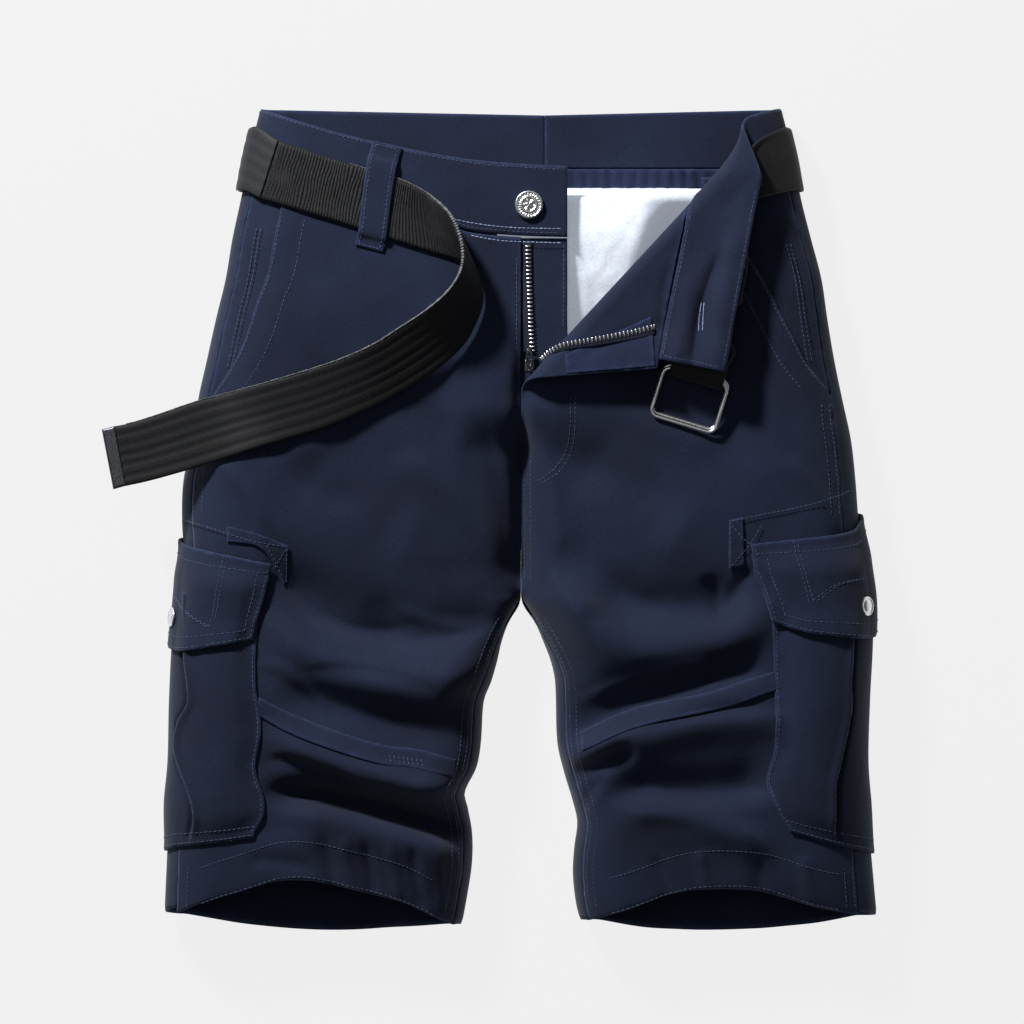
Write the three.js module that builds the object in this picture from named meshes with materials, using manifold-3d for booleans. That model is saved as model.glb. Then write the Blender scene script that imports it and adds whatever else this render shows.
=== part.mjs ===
// Men's cargo shorts, laid flat on their back with the fly open and the belt threaded.
// X runs across the garment, Y up to the waist and Z up from the surface that they lie on.
// Everything is in millimetres. Each sewn piece is a thin closed shell that follows one
// shared form: a flat underside, rounded sides and a domed front with its folds.
import * as THREE from 'three';
import { mergeVertices } from 'three/addons/utils/BufferGeometryUtils.js';
import Module from 'manifold-3d';

const wasm = await Module();
wasm.setup();

// Cloth and webbing
const CLOTH = 1.4;
const HEM_CLOTH = 2.4;
const BAND_CLOTH = 2.4;
const FLAP_CLOTH = 1.8;
const TAPE = 0.8;
const WEBBING = 2.2;
const SEAM_GAP = 0.3;
const LAY_GAP = 0.9;

// Cross-section of the garment as it lies
const EDGE_HEIGHT = 13;
const EDGE_RADIUS = 13;
const OUTER_ROUND = 42;
const INNER_ROUND = 34;
const CENTRE_X = 20;
const CROTCH_Y = -53;
const INSEAM_INSET = 12;
const INSEAM_RUN = 60;

// How far the back is held off the surface by what lies under it
const BELT_LIFT = 5.0;
const POCKET_LIFT = 6.6;

// Belt
const BELT_WIDTH = 42;
const BELT_Y = 242.5;

// Outer edge of each half, from the hem up to the waist
const LEFT_OUTER = [
  { y: -268, x: -221 }, { y: -224, x: -219 }, { y: -190, x: -217.5 }, { y: -163, x: -215 },
  { y: -122, x: -214 }, { y: -82, x: -212 }, { y: -54, x: -209 }, { y: -27, x: -207.5 },
  { y: 0, x: -209 }, { y: 27, x: -208 }, { y: 54, x: -202 }, { y: 82, x: -198 },
  { y: 109, x: -192 }, { y: 136, x: -186 }, { y: 163, x: -179.5 }, { y: 190, x: -175 },
  { y: 218, x: -169 }, { y: 245, x: -164 }, { y: 278, x: -156 },
];
const RIGHT_OUTER = [
  { y: -268, x: 260.5 }, { y: -224, x: 256.5 }, { y: -190, x: 253 }, { y: -163, x: 251 },
  { y: -122, x: 252 }, { y: -82, x: 254 }, { y: -54, x: 254 }, { y: -27, x: 250.5 },
  { y: 0, x: 248 }, { y: 27, x: 246 }, { y: 54, x: 243 }, { y: 82, x: 237 },
  { y: 109, x: 231.5 }, { y: 136, x: 227 }, { y: 163, x: 223 }, { y: 190, x: 216 },
  { y: 218, x: 209 }, { y: 245, x: 204 }, { y: 278, x: 196 },
];

// Inner edge of each leg, from the hem up to the crotch
const LEFT_INNER = [
  { y: -274, x: -20 }, { y: -252, x: -16 }, { y: -231, x: -13 }, { y: -211, x: -13 },
  { y: -194, x: -16 }, { y: -184, x: -18 }, { y: -167, x: -10 }, { y: -150, x: -7 },
  { y: -122, x: -5 }, { y: -109, x: 0 }, { y: -95, x: 4 }, { y: -82, x: 7 },
  { y: -68, x: 12 }, { y: -53, x: 19.8 },
];
const RIGHT_INNER = [
  { y: -271, x: 60 }, { y: -258, x: 57 }, { y: -238, x: 55 }, { y: -221, x: 56 },
  { y: -204, x: 58 }, { y: -190, x: 55 }, { y: -170, x: 49 }, { y: -150, x: 44.5 },
  { y: -109, x: 43 }, { y: -95, x: 40 }, { y: -82, x: 35 }, { y: -68, x: 29 },
  { y: -53, x: 20.2 },
];

// Height of the front above the surface, along the garment
const FRONT_HEIGHT = [
  { y: -278, z: 40 }, { y: -240, z: 46 }, { y: -180, z: 50 }, { y: -110, z: 50 },
  { y: -53, z: 47 }, { y: 0, z: 49 }, { y: 100, z: 47 }, { y: 190, z: 43 }, { y: 278, z: 38 },
];

// Waist lines of the left front, and hems from the side (0) to the inseam (1)
const LEFT_WAIST_EDGE = [
  { x: -156, y: 277.5 }, { x: -130, y: 268 }, { x: -96, y: 258 }, { x: -76, y: 253.5 },
  { x: -46, y: 247 }, { x: -16, y: 242 }, { x: 16, y: 239 }, { x: 51, y: 237 },
];
const LEFT_WAIST_SEAM = [
  { x: -167, y: 238 }, { x: -155, y: 235 }, { x: -139, y: 231 }, { x: -115, y: 226 },
  { x: -90, y: 219 }, { x: -62, y: 209 }, { x: -31, y: 199 }, { x: -12, y: 193 },
  { x: 20, y: 190 }, { x: 51, y: 189 },
];
const LEFT_HEM = [
  { across: 0, front: -264, back: -267 }, { across: 0.1, front: -256, back: -270 },
  { across: 0.22, front: -249, back: -273.5 }, { across: 0.35, front: -241.5, back: -276 },
  { across: 0.47, front: -241, back: -277.5 }, { across: 0.58, front: -245, back: -278 },
  { across: 0.69, front: -250, back: -277.5 }, { across: 0.81, front: -256, back: -276 },
  { across: 0.915, front: -265, back: -275 }, { across: 1, front: -272, back: -274 },
];
const RIGHT_HEM = [
  { across: 0, front: -265, back: -268 }, { across: 0.15, front: -259.5, back: -273 },
  { across: 0.28, front: -252, back: -275.5 }, { across: 0.38, front: -247.5, back: -277 },
  { across: 0.575, front: -247, back: -278 }, { across: 0.7, front: -251, back: -277.5 },
  { across: 0.835, front: -260, back: -276 }, { across: 1, front: -269, back: -271 },
];

// How far the front panel's outer edge lies inside the outline: the slanted pocket mouth
// above, and the side seam below
const LEFT_MOUTH = [
  { y: -268, inset: 9 }, { y: 60, inset: 8 }, { y: 78, inset: 8.5 }, { y: 98, inset: 18 },
  { y: 121, inset: 24.5 }, { y: 149, inset: 27 }, { y: 166, inset: 29.5 }, { y: 232, inset: 30 },
];
const RIGHT_MOUTH = [
  { y: -268, inset: 14 }, { y: 60, inset: 12 }, { y: 84, inset: 9 }, { y: 103, inset: 20 },
  { y: 124, inset: 27.5 }, { y: 152, inset: 38 }, { y: 182, inset: 49 }, { y: 226, inset: 60 },
];
const LEFT_SIDE_SEAM = [{ y: -268, inset: 9 }, { y: 60, inset: 8 }, { y: 278, inset: 7 }];
const RIGHT_SIDE_SEAM = [{ y: -268, inset: 14 }, { y: 60, inset: 12 }, { y: 84, inset: 8.7 },
  { y: 278, inset: 7 }];

// Folds of the front, each along an arc from one end to the other. bow bends the arc to
// its left, above and below are the reach of its two flanks, and rise is up for a ridge.
const FOLDS = [
  { x0: -140, y0: -37, x1: 2, y1: -67, bow: -25, above: 22, below: 9, rise: -7 },
  { x0: -147, y0: -71, x1: -8, y1: -101, bow: -20, above: 15, below: 18, rise: 7 },
  { x0: -130, y0: -116, x1: -21, y1: -146, bow: 0, above: 12, below: 12, rise: -4 },
  { x0: -141, y0: -147, x1: -18, y1: -184, bow: -5, above: 14, below: 9, rise: 8 },
  { x0: -139, y0: -182, x1: -20, y1: -212, bow: 4, above: 9, below: 8, rise: -11 },
  { x0: -130, y0: -192, x1: -25, y1: -220, bow: 2, above: 7, below: 20, rise: 5 },
  { x0: 74, y0: -51, x1: 166, y1: -54, bow: -6, above: 16, below: 14, rise: -4 },
  { x0: 42, y0: -48, x1: 179, y1: -71, bow: -29, above: 20, below: 20, rise: 8 },
  { x0: 47, y0: -146, x1: 172, y1: -99, bow: 6, above: 20, below: 10, rise: -8 },
  { x0: 53, y0: -158, x1: 188, y1: -133, bow: 7, above: 7, below: 14, rise: 5 },
  { x0: 89, y0: -182, x1: 183, y1: -178, bow: -2, above: 18, below: 8, rise: -8 },
  { x0: 91, y0: -189, x1: 181, y1: -218, bow: 9, above: 7, below: 18, rise: 5 },
  { x0: 49, y0: -175, x1: 93, y1: -153, bow: 0, above: 8, below: 7, rise: -5 },
  { x0: 20, y0: 60, x1: 20, y1: -50, bow: 0, above: 10, below: 10, rise: -5 },
];
const FOLD_FADE = 0.16;

const clamp01 = (t) => Math.min(1, Math.max(0, t));
const mix = (a, b, t) => a + (b - a) * t;
const ease = (t) => clamp01(t) ** 2 * (3 - 2 * clamp01(t));
const step = (from, to, t) => ease((t - from) / (to - from));

// A smooth curve through one column of a table, read by another column that rises.
function curve(rows, key, value) {
  const k = rows.map((row) => row[key]);
  const v = rows.map((row) => row[value]);
  const slope = k.map((_, i) => {
    const a = Math.max(0, i - 1);
    const b = Math.min(k.length - 1, i + 1);
    return (v[b] - v[a]) / (k[b] - k[a]);
  });
  return (at) => {
    const t = Math.min(k[k.length - 1], Math.max(k[0], at));
    let i = 0;
    while (i < k.length - 2 && t > k[i + 1]) i += 1;
    const h = k[i + 1] - k[i];
    const s = (t - k[i]) / h;
    const even = s * s * (3 - 2 * s);
    return v[i] * (1 - even) + v[i + 1] * even
      + h * (slope[i] * s * (1 - s) ** 2 - slope[i + 1] * s * s * (1 - s));
  };
}

const frontHeight = curve(FRONT_HEIGHT, 'y', 'z');

function foldRise(x, y) {
  let total = 0;
  for (const f of FOLDS) {
    const dx = f.x1 - f.x0;
    const dy = f.y1 - f.y0;
    const long = Math.hypot(dx, dy);
    const t = ((x - f.x0) * dx + (y - f.y0) * dy) / long ** 2;
    const fade = step(-FOLD_FADE, FOLD_FADE, t) * step(1 + FOLD_FADE, 1 - FOLD_FADE, t);
    if (fade === 0) continue;
    const off = ((y - f.y0) * dx - (x - f.x0) * dy) / long - f.bow * 4 * t * (1 - t);
    total += f.rise * fade * Math.exp(-((off / (off > 0 ? f.above : f.below)) ** 2));
  }
  return total;
}

const rounding = (d, reach) => (d >= reach ? 1 : Math.sqrt(Math.max(0, 1 - (1 - d / reach) ** 2)));

// One half of the garment: side is -1 on the left of the picture and 1 on the right.
function makeHalf(side, outerRows, innerRows, mouthRows, seamRows) {
  const outer = curve(outerRows, 'y', 'x');
  const innerLeg = curve(innerRows, 'y', 'x');
  const inner = (y) => (y >= CROTCH_Y ? CENTRE_X : innerLeg(y));
  const fromInner = (x, y) => (y >= CROTCH_Y
    ? Math.hypot(CENTRE_X - x, y - CROTCH_Y) : Math.max(0, side * (x - inner(y))));
  const fromOuter = (x, y) => Math.max(0, side * (outer(y) - x));
  const lift = (x, y) => {
    const under = 1 - step(82, 112, fromOuter(x, y));
    const patch = step(-254, -229, y) * (1 - step(12, 44, y));
    return step(150, 200, y) * BELT_LIFT + under * patch * POCKET_LIFT;
  };
  const top = (x, y) => EDGE_HEIGHT + (frontHeight(y) - EDGE_HEIGHT + foldRise(x, y))
    * rounding(fromOuter(x, y), OUTER_ROUND) * rounding(fromInner(x, y), INNER_ROUND);
  const bottom = (x, y) => {
    const flat = rounding(fromOuter(x, y), EDGE_RADIUS) * rounding(fromInner(x, y), EDGE_RADIUS);
    return mix(EDGE_HEIGHT, lift(x, y), flat);
  };
  const topArc = (OUTER_ROUND + frontHeight(0) - EDGE_HEIGHT) / 2;
  const lowArc = (EDGE_RADIUS + EDGE_HEIGHT) / 2;
  // The distance in from the outline of a point that lies p along the cloth from it.
  const inset = (p, arc, radius) => (p < arc * Math.PI / 2
    ? radius * (1 - Math.cos(p / arc)) : radius + p - arc * Math.PI / 2);
  const alongTop = (d) => (d < OUTER_ROUND
    ? topArc * Math.acos(1 - d / OUTER_ROUND) : topArc * Math.PI / 2 + d - OUTER_ROUND);
  // A point of the outer skin: p up the front from the outline, or down the back if it is
  // negative.
  const skin = (p, y) => {
    if (p >= 0) {
      const x = outer(y) - side * inset(p, topArc, OUTER_ROUND);
      return new THREE.Vector3(x, y, top(x, y));
    }
    const x = outer(y) - side * inset(-p, lowArc, EDGE_RADIUS);
    return new THREE.Vector3(x, y, bottom(x, y));
  };
  const front = (x, y) => new THREE.Vector3(x, y, top(x, y));
  const inseamInset = (y) => INSEAM_INSET * step(CROTCH_Y, CROTCH_Y - INSEAM_RUN, y);
  return {
    side, outer, inner, top, bottom, skin, front, alongTop, inseamInset, fromOuter, topArc, lowArc,
    mouth: curve(mouthRows, 'y', 'inset'),
    sideSeam: curve(seamRows, 'y', 'inset'),
  };
}

const left = makeHalf(-1, LEFT_OUTER, LEFT_INNER, LEFT_MOUTH, LEFT_SIDE_SEAM);
const right = makeHalf(1, RIGHT_OUTER, RIGHT_INNER, RIGHT_MOUTH, RIGHT_SIDE_SEAM);

// A closed shell between two distances from a grid of points, with a normal at each point.
function closeShell(grid, normals, low, high) {
  const along = grid.length - 1;
  const across = grid[0].length - 1;
  const at = (f, i, j) => (typeof f === 'function' ? f(i / across, j / along) : f);
  const layer = (f) => grid.flatMap((row, j) => row.map((point, i) => point.clone()
    .addScaledVector(normals[j][i], at(f, i, j))));
  const points = [...layer(high), ...layer(low)];
  const row = across + 1;
  const count = row * (along + 1);
  const faces = [];
  const quad = (a, b, c, d) => faces.push(a, b, c, a, c, d);
  for (let j = 0; j < along; j += 1) {
    for (let i = 0; i < across; i += 1) {
      const k = j * row + i;
      quad(k, k + 1, k + 1 + row, k + row);
      quad(count + k, count + k + row, count + k + row + 1, count + k + 1);
    }
  }
  for (let i = 0; i < across; i += 1) {
    const end = along * row + i;
    quad(i, count + i, count + i + 1, i + 1);
    quad(end + 1, count + end + 1, count + end, end);
  }
  for (let j = 0; j < along; j += 1) {
    const k = j * row;
    const m = k + across;
    quad(k + row, count + k + row, count + k, k);
    quad(m, count + m, count + m + row, m + row);
  }
  const geometry = new THREE.BufferGeometry();
  const flat = points.flatMap((p) => [p.x, p.y, p.z]);
  geometry.setAttribute('position', new THREE.Float32BufferAttribute(flat, 3));
  geometry.setIndex(faces);
  return facingOut(geometry);
}

// The unit normal of a surface at one place, from two short steps on it.
function normalAt(point, u, v) {
  const tiny = 1e-3;
  const du = point(Math.min(1, u + tiny), v).sub(point(Math.max(0, u - tiny), v));
  const dv = point(u, Math.min(1, v + tiny)).sub(point(u, Math.max(0, v - tiny)));
  return du.cross(dv).normalize();
}

// A shell over point(u, v). Its outer side looks up or down at the probed place.
const UP = { u: 0.5, v: 0.5, z: 1 };
const DOWN = { u: 0.5, v: 0.5, z: -1 };
function shell(point, across, along, low, high, probe = UP) {
  const sign = Math.sign(normalAt(point, probe.u, probe.v).z) * probe.z;
  const grid = [];
  const normals = [];
  for (let j = 0; j <= along; j += 1) {
    grid.push([]);
    normals.push([]);
    for (let i = 0; i <= across; i += 1) {
      grid[j].push(point(i / across, j / along));
      normals[j].push(normalAt(point, i / across, j / along).multiplyScalar(sign));
    }
  }
  return closeShell(grid, normals, low, high);
}

// The normals of a grid that is only known as points, each from its neighbours.
function gridNormals(grid, sign) {
  return grid.map((row, j) => row.map((_, i) => {
    const du = row[Math.min(row.length - 1, i + 1)].clone().sub(row[Math.max(0, i - 1)]);
    const before = grid[Math.max(0, j - 1)][i];
    const dv = grid[Math.min(grid.length - 1, j + 1)][i].clone().sub(before);
    return du.cross(dv).normalize().multiplyScalar(sign);
  }));
}

// Turns the faces round where the solid they close is inside out.
function facingOut(geometry) {
  const solid = solidOf(geometry);
  if (solid.volume() >= 0) return geometry;
  const index = geometry.getIndex().array;
  for (let i = 0; i < index.length; i += 3) {
    [index[i + 1], index[i + 2]] = [index[i + 2], index[i + 1]];
  }
  return geometry;
}

function solidOf(source) {
  const bare = new THREE.BufferGeometry();
  bare.setAttribute('position', source.getAttribute('position').clone());
  if (source.getIndex()) bare.setIndex(source.getIndex().clone());
  const merged = mergeVertices(bare, 1e-4);
  return new wasm.Manifold(new wasm.Mesh({
    numProp: 3,
    vertProperties: merged.attributes.position.array,
    triVerts: new Uint32Array(merged.index.array),
  }));
}

const cloth = new THREE.MeshStandardMaterial({ color: 0x1f2538, roughness: 0.85, metalness: 0 });
const pocketing = new THREE.MeshStandardMaterial({ color: 0xeef2f7, roughness: 0.9, metalness: 0 });
const webbing = new THREE.MeshStandardMaterial({ color: 0x1d1f22, roughness: 0.75, metalness: 0 });
const steel = new THREE.MeshStandardMaterial({ color: 0xc9cbce, roughness: 0.25, metalness: 1 });
const darkSteel = new THREE.MeshStandardMaterial({ color: 0x2a2b2e, roughness: 0.3, metalness: 1 });

// The belt's tail and the right leg are equally far from the middle of the frame.
const FRAME_SHIFT = -1.28;
const shorts = new THREE.Group();
function add(name, geometry, material) {
  geometry.translate(FRAME_SHIFT, 0, 0);
  const mesh = new THREE.Mesh(geometry, material);
  mesh.name = name;
  shorts.add(mesh);
  return mesh;
}

// Packs the columns of a panel closer at its two curved edges.
const spread = (u) => mix(u, (1 - Math.cos(Math.PI * u)) / 2, 0.45);

// Front of the right half above its crease: the corner of the panel and the waistband are
// turned down over it. A point of the flat cloth keeps its distances as it goes round.
const CREASE_X = 150;
const CREASE_Y = 218.3;
const CREASE_OUT = new THREE.Vector2(-0.734, 0.679);
const CREASE_ROUND = 6.8;
const LAPEL_RISE = 3;

function turnedOver(x, y) {
  const past = (x - CREASE_X) * CREASE_OUT.x + (y - CREASE_Y) * CREASE_OUT.y;
  if (past <= 0) return right.front(x, y);
  const turn = Math.min(past / CREASE_ROUND, Math.PI);
  const back = Math.max(0, past - Math.PI * CREASE_ROUND);
  const shift = CREASE_ROUND * Math.sin(turn) - past - back;
  const px = x + CREASE_OUT.x * shift;
  const py = y + CREASE_OUT.y * shift;
  const rise = CREASE_ROUND * (1 - Math.cos(turn)) + LAPEL_RISE * ease(back / 90);
  return new THREE.Vector3(px, py, right.top(px, py) + rise);
}

// The right waistband as flat cloth: its seam starts at the side and runs to the fly.
const BAND_WIDTH = 44;
const RIGHT_BAND = { x: 206, y: 236, dx: -0.963, dy: -0.268, length: 187 };
const bandRight = (s, w) => turnedOver(
  RIGHT_BAND.x + s * RIGHT_BAND.dx - w * -RIGHT_BAND.dy,
  RIGHT_BAND.y + s * RIGHT_BAND.dy - w * RIGHT_BAND.dx,
);

const rightWaistSeam = (across) => {
  const x = mix(150, CENTRE_X, across);
  return RIGHT_BAND.y + (x - RIGHT_BAND.x) * RIGHT_BAND.dy / RIGHT_BAND.dx - SEAM_GAP;
};
const leftSeam = curve(LEFT_WAIST_SEAM, 'x', 'y');
const leftEdge = curve(LEFT_WAIST_EDGE, 'x', 'y');
const leftWaistSeam = (across) => leftSeam(mix(-139, CENTRE_X, across)) - 0.5;
const hemLine = (rows, value) => curve(rows, 'across', value);
const rightHem = hemLine(RIGHT_HEM, 'front');

function frontPanel(half, rowAt, place) {
  return (u, v) => {
    const across = spread(u);
    const y = rowAt(across, v);
    const from = half.outer(y) - half.side * (half.mouth(y) + SEAM_GAP / 2);
    const to = half.inner(y) + half.side * (half.inseamInset(y) * 0.5 + SEAM_GAP);
    return place(mix(from, to, across), y);
  };
}
// Rows of the right front: above the crease, round it, and down to the hem
const TURNED_ROWS = 5;
const ROUND_ROWS = 5;
const DOWN_ROWS = 23;
const RIGHT_ROWS = TURNED_ROWS + ROUND_ROWS + DOWN_ROWS;
function rightRow(across, v) {
  const x = mix(150, CENTRE_X, across);
  const seam = rightWaistSeam(across);
  const crease = CREASE_Y - (x - CREASE_X) * CREASE_OUT.x / CREASE_OUT.y;
  const over = Math.min(crease + Math.PI * CREASE_ROUND / CREASE_OUT.y, seam - 4);
  const under = Math.min(crease, over - 6);
  const row = v * RIGHT_ROWS;
  if (row < TURNED_ROWS) return mix(seam, over, row / TURNED_ROWS);
  if (row < TURNED_ROWS + ROUND_ROWS) return mix(over, under, (row - TURNED_ROWS) / ROUND_ROWS);
  return mix(under, rightHem(across), (row - TURNED_ROWS - ROUND_ROWS) / DOWN_ROWS);
}
const hemmed = (rows) => (u, v) => -(v > 1 - 1.4 / rows ? HEM_CLOTH : CLOTH);
const FRONT_ACROSS = 14;
const FRONT_ALONG = 26;
const leftHem = hemLine(LEFT_HEM, 'front');
const leftRow = (across, v) => mix(leftWaistSeam(across), leftHem(across), v);
add('front_left', shell(frontPanel(left, leftRow, left.front), FRONT_ACROSS, FRONT_ALONG,
  hemmed(FRONT_ALONG), 0), cloth);
add('front_right', shell(frontPanel(right, rightRow, turnedOver), FRONT_ACROSS, RIGHT_ROWS,
  hemmed(RIGHT_ROWS), 0, { u: 0.5, v: 0.6, z: 1 }), cloth);

// Back panels, from the side seam on the front round the side and underneath
const BACK_SEAM_X = 36;
const backMiddle = (y) => mix(CENTRE_X, BACK_SEAM_X, step(CROTCH_Y + 20, 190, y));
const SIDE_SHARE = 6 / 18;
const INSEAM_SHARE = 5 / 18;
function backPanel(half, hem) {
  return (u, v) => {
    const side = half.side;
    const y = mix(236, hem(u), v);
    const under = half.lowArc * Math.PI / 2;
    if (u <= SIDE_SHARE) {
      const top = half.alongTop(half.sideSeam(y) - 0.6);
      return half.skin(mix(top, -under, u / SIDE_SHARE), y);
    }
    const legs = step(CROTCH_Y + 12, CROTCH_Y - 20, y);
    const middle = mix(backMiddle(y), half.inner(y), legs);
    const start = half.outer(y) - side * EDGE_RADIUS;
    const turn = middle + side * mix(0.2 * EDGE_RADIUS, EDGE_RADIUS, legs);
    if (u <= 1 - INSEAM_SHARE) {
      const x = mix(start, turn, (u - SIDE_SHARE) / (1 - INSEAM_SHARE - SIDE_SHARE));
      return new THREE.Vector3(x, y, half.bottom(x, y));
    }
    const share = (u - 1 + INSEAM_SHARE) / INSEAM_SHARE;
    if (legs === 0) {
      const x = mix(turn, middle + side * SEAM_GAP / 2, share);
      return new THREE.Vector3(x, y, half.bottom(x, y));
    }
    const rise = Math.max(0, half.inseamInset(y) * 0.5 - 0.8);
    const riseArc = half.topArc * Math.acos(1 - rise / INNER_ROUND);
    const along = share * (under + riseArc);
    const lifted = along > under;
    const d = lifted ? INNER_ROUND * (1 - Math.cos((along - under) / half.topArc))
      : EDGE_RADIUS * (1 - Math.sin(along / half.lowArc));
    const round = middle + side * Math.max(d, SEAM_GAP / 2);
    const x = mix(mix(turn, middle + side * SEAM_GAP / 2, share), round, legs);
    return new THREE.Vector3(x, y, lifted ? half.top(x, y) : half.bottom(x, y));
  };
}
const hemRound = (rows) => {
  const front = hemLine(rows, 'front');
  const back = hemLine(rows, 'back');
  return (u) => {
    if (u < SIDE_SHARE) return mix(front(0.04), back(0), ease(u / SIDE_SHARE));
    if (u > 1 - INSEAM_SHARE) return mix(back(1), front(1), ease((u - 1 + INSEAM_SHARE) / INSEAM_SHARE));
    return back((u - SIDE_SHARE) / (1 - SIDE_SHARE - INSEAM_SHARE));
  };
};
const BACK_ACROSS = 18;
const BACK_ALONG = 22;
add('back_left', shell(backPanel(left, hemRound(LEFT_HEM)), BACK_ACROSS, BACK_ALONG,
  hemmed(BACK_ALONG), 0, DOWN), cloth);
add('back_right', shell(backPanel(right, hemRound(RIGHT_HEM)), BACK_ACROSS, BACK_ALONG,
  hemmed(BACK_ALONG), 0, DOWN), cloth);

// Waistband halves: from the fly round the side to the centre back
const FLY_X = 51;
const underSide = (half) => half.lowArc * Math.PI / 2;
function bandBehind(half, t, w) {
  const y = mix(238, mix(278, 274, t), w / BAND_WIDTH);
  const end = Math.abs(BACK_SEAM_X - half.side * -SEAM_GAP / 2 - half.outer(y));
  const p = t * (underSide(half) + end - EDGE_RADIUS);
  return half.skin(-p, y);
}
add('waistband_left', shell((u, v) => {
  if (u < 0.45) return bandBehind(left, 1 - u / 0.45, v * BAND_WIDTH);
  const t = (u - 0.45) / 0.55;
  let place = left.skin(t * left.alongTop(FLY_X - left.outer(240)), 240);
  for (let k = 0; k < 3; k += 1) {
    const y = mix(leftSeam(place.x) + 0.5, leftEdge(place.x), v);
    place = left.skin(t * left.alongTop(FLY_X - left.outer(y)), y);
  }
  return place;
}, 40, 3, -BAND_CLOTH, 0, { u: 0.8, v: 0.5, z: 1 }), cloth);
add('waistband_right', shell((u, v) => {
  if (u < 0.4) return bandBehind(right, 1 - u / 0.4, v * BAND_WIDTH);
  const t = (u - 0.4) / 0.6;
  const blend = step(0.12, 0.3, t);
  const s = t * RIGHT_BAND.length;
  const flat = bandRight(s, v * BAND_WIDTH);
  if (blend === 1) return flat;
  const y = mix(238, 278, v) - s * 0.268;
  const round = right.skin(right.alongTop(s), y);
  return round.lerp(flat, blend);
}, 50, 6, -BAND_CLOTH, 0, { u: 0.52, v: 0.2, z: 1 }), cloth);

// A piece that lies on a half: its four edges are read in x and y, and raised by lift.
const bodyTop = (x, y) => (x < CENTRE_X ? left : right).top(x, y);
const onBody = (x, y) => new THREE.Vector3(x, y, bodyTop(x, y));

// A strip between two edges, each a table of x and y along it.
function edges(rows, names) {
  const n = rows.length - 1;
  const keyed = rows.map((row, i) => ({ ...row, t: i / n }));
  return names.map((name) => curve(keyed, 't', name));
}
function strip(rows, place) {
  const [ax, ay, bx, by] = edges(rows, ['ax', 'ay', 'bx', 'by']);
  return (u, v) => place(mix(ax(u), bx(u), v), mix(ay(u), by(u), v));
}

// Hand pocket facings, from the side seam to under the mouth of the pocket
const FACING_TUCK = 6;
const FACING_DROP = CLOTH + 0.7;
function facing(half, low, high) {
  return (u, v) => {
    const y = mix(low, high, v);
    const from = half.alongTop(half.sideSeam(y) + 0.5);
    const to = half.alongTop(half.mouth(y) + FACING_TUCK);
    return half.skin(mix(from, to, u), y);
  };
}
const facingDrop = (u) => FACING_DROP * ease(u / 0.55);
add('hand_pocket_facing_left', shell(facing(left, 96, 219), 6, 10,
  (u) => -facingDrop(u) - 1.2, (u) => -facingDrop(u)), cloth);
add('hand_pocket_facing_right', shell(facing(right, 98, 211), 8, 10,
  (u) => -facingDrop(u) - 1.2, (u) => -facingDrop(u)), cloth);

// Cargo pockets: a patch round the side with a bellows swell, and a flap over its head
const POCKET_CLOTH = 1.4;
const POCKET_SWELL = 1.6;
const POCKET_UNDER = 56;
const LEFT_POCKET_FRONT = [{ y: -226, x: -160 }, { y: -210, x: -158 }, { y: -194, x: -151 },
  { y: -165, x: -157 }, { y: -140, x: -153 }, { y: -108, x: -157 }, { y: -60, x: -155 }];
const RIGHT_POCKET_FRONT = [{ y: -226, x: 212 }, { y: -208, x: 200 }, { y: -194, x: 191 },
  { y: -174, x: 185 }, { y: -152, x: 189 }, { y: -100, x: 189 }, { y: -50, x: 186 }];
const LEFT_FLAP_FRONT = [{ y: -84, x: -159.5 }, { y: -52, x: -151 }, { y: -25, x: -147 }];
const RIGHT_FLAP_FRONT = [{ y: -78, x: 188 }, { y: -51, x: 182 }, { y: -29, x: 175 },
  { y: -12, x: 173 }];
const WRAP_COLUMNS = 18;
const WRAP_TOP = 6 / WRAP_COLUMNS;
const WRAP_LOW = 14 / WRAP_COLUMNS;
const WRAP_TURN = 22;
function wrap(half, frontRows, headLine, footLine) {
  const front = curve(frontRows, 'y', 'x');
  return (u, v) => {
    const y = mix(footLine(u), headLine(u), v);
    const from = half.alongTop(half.side * (half.outer(y) - front(y)));
    const under = half.lowArc * Math.PI / 2;
    if (u < WRAP_TOP) return half.skin(mix(from, WRAP_TURN, u / WRAP_TOP), y);
    if (u < WRAP_LOW) return half.skin(mix(WRAP_TURN, -under, (u - WRAP_TOP) / (WRAP_LOW - WRAP_TOP)), y);
    return half.skin(-under - mix(0, POCKET_UNDER, (u - WRAP_LOW) / (1 - WRAP_LOW)), y);
  };
}
const swellAcross = (u) => step(0, 0.16, u) * step(0.8, 0.5, u);
const swell = (u, v) => POCKET_SWELL * swellAcross(u) * step(0, 0.2, v);
const pocketLow = (u, v) => LAY_GAP + swell(u, v);
const pocketHigh = (u, v) => pocketLow(u, v) + POCKET_CLOTH;
const lineOf = (rows) => curve(rows, 'across', 'y');
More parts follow.
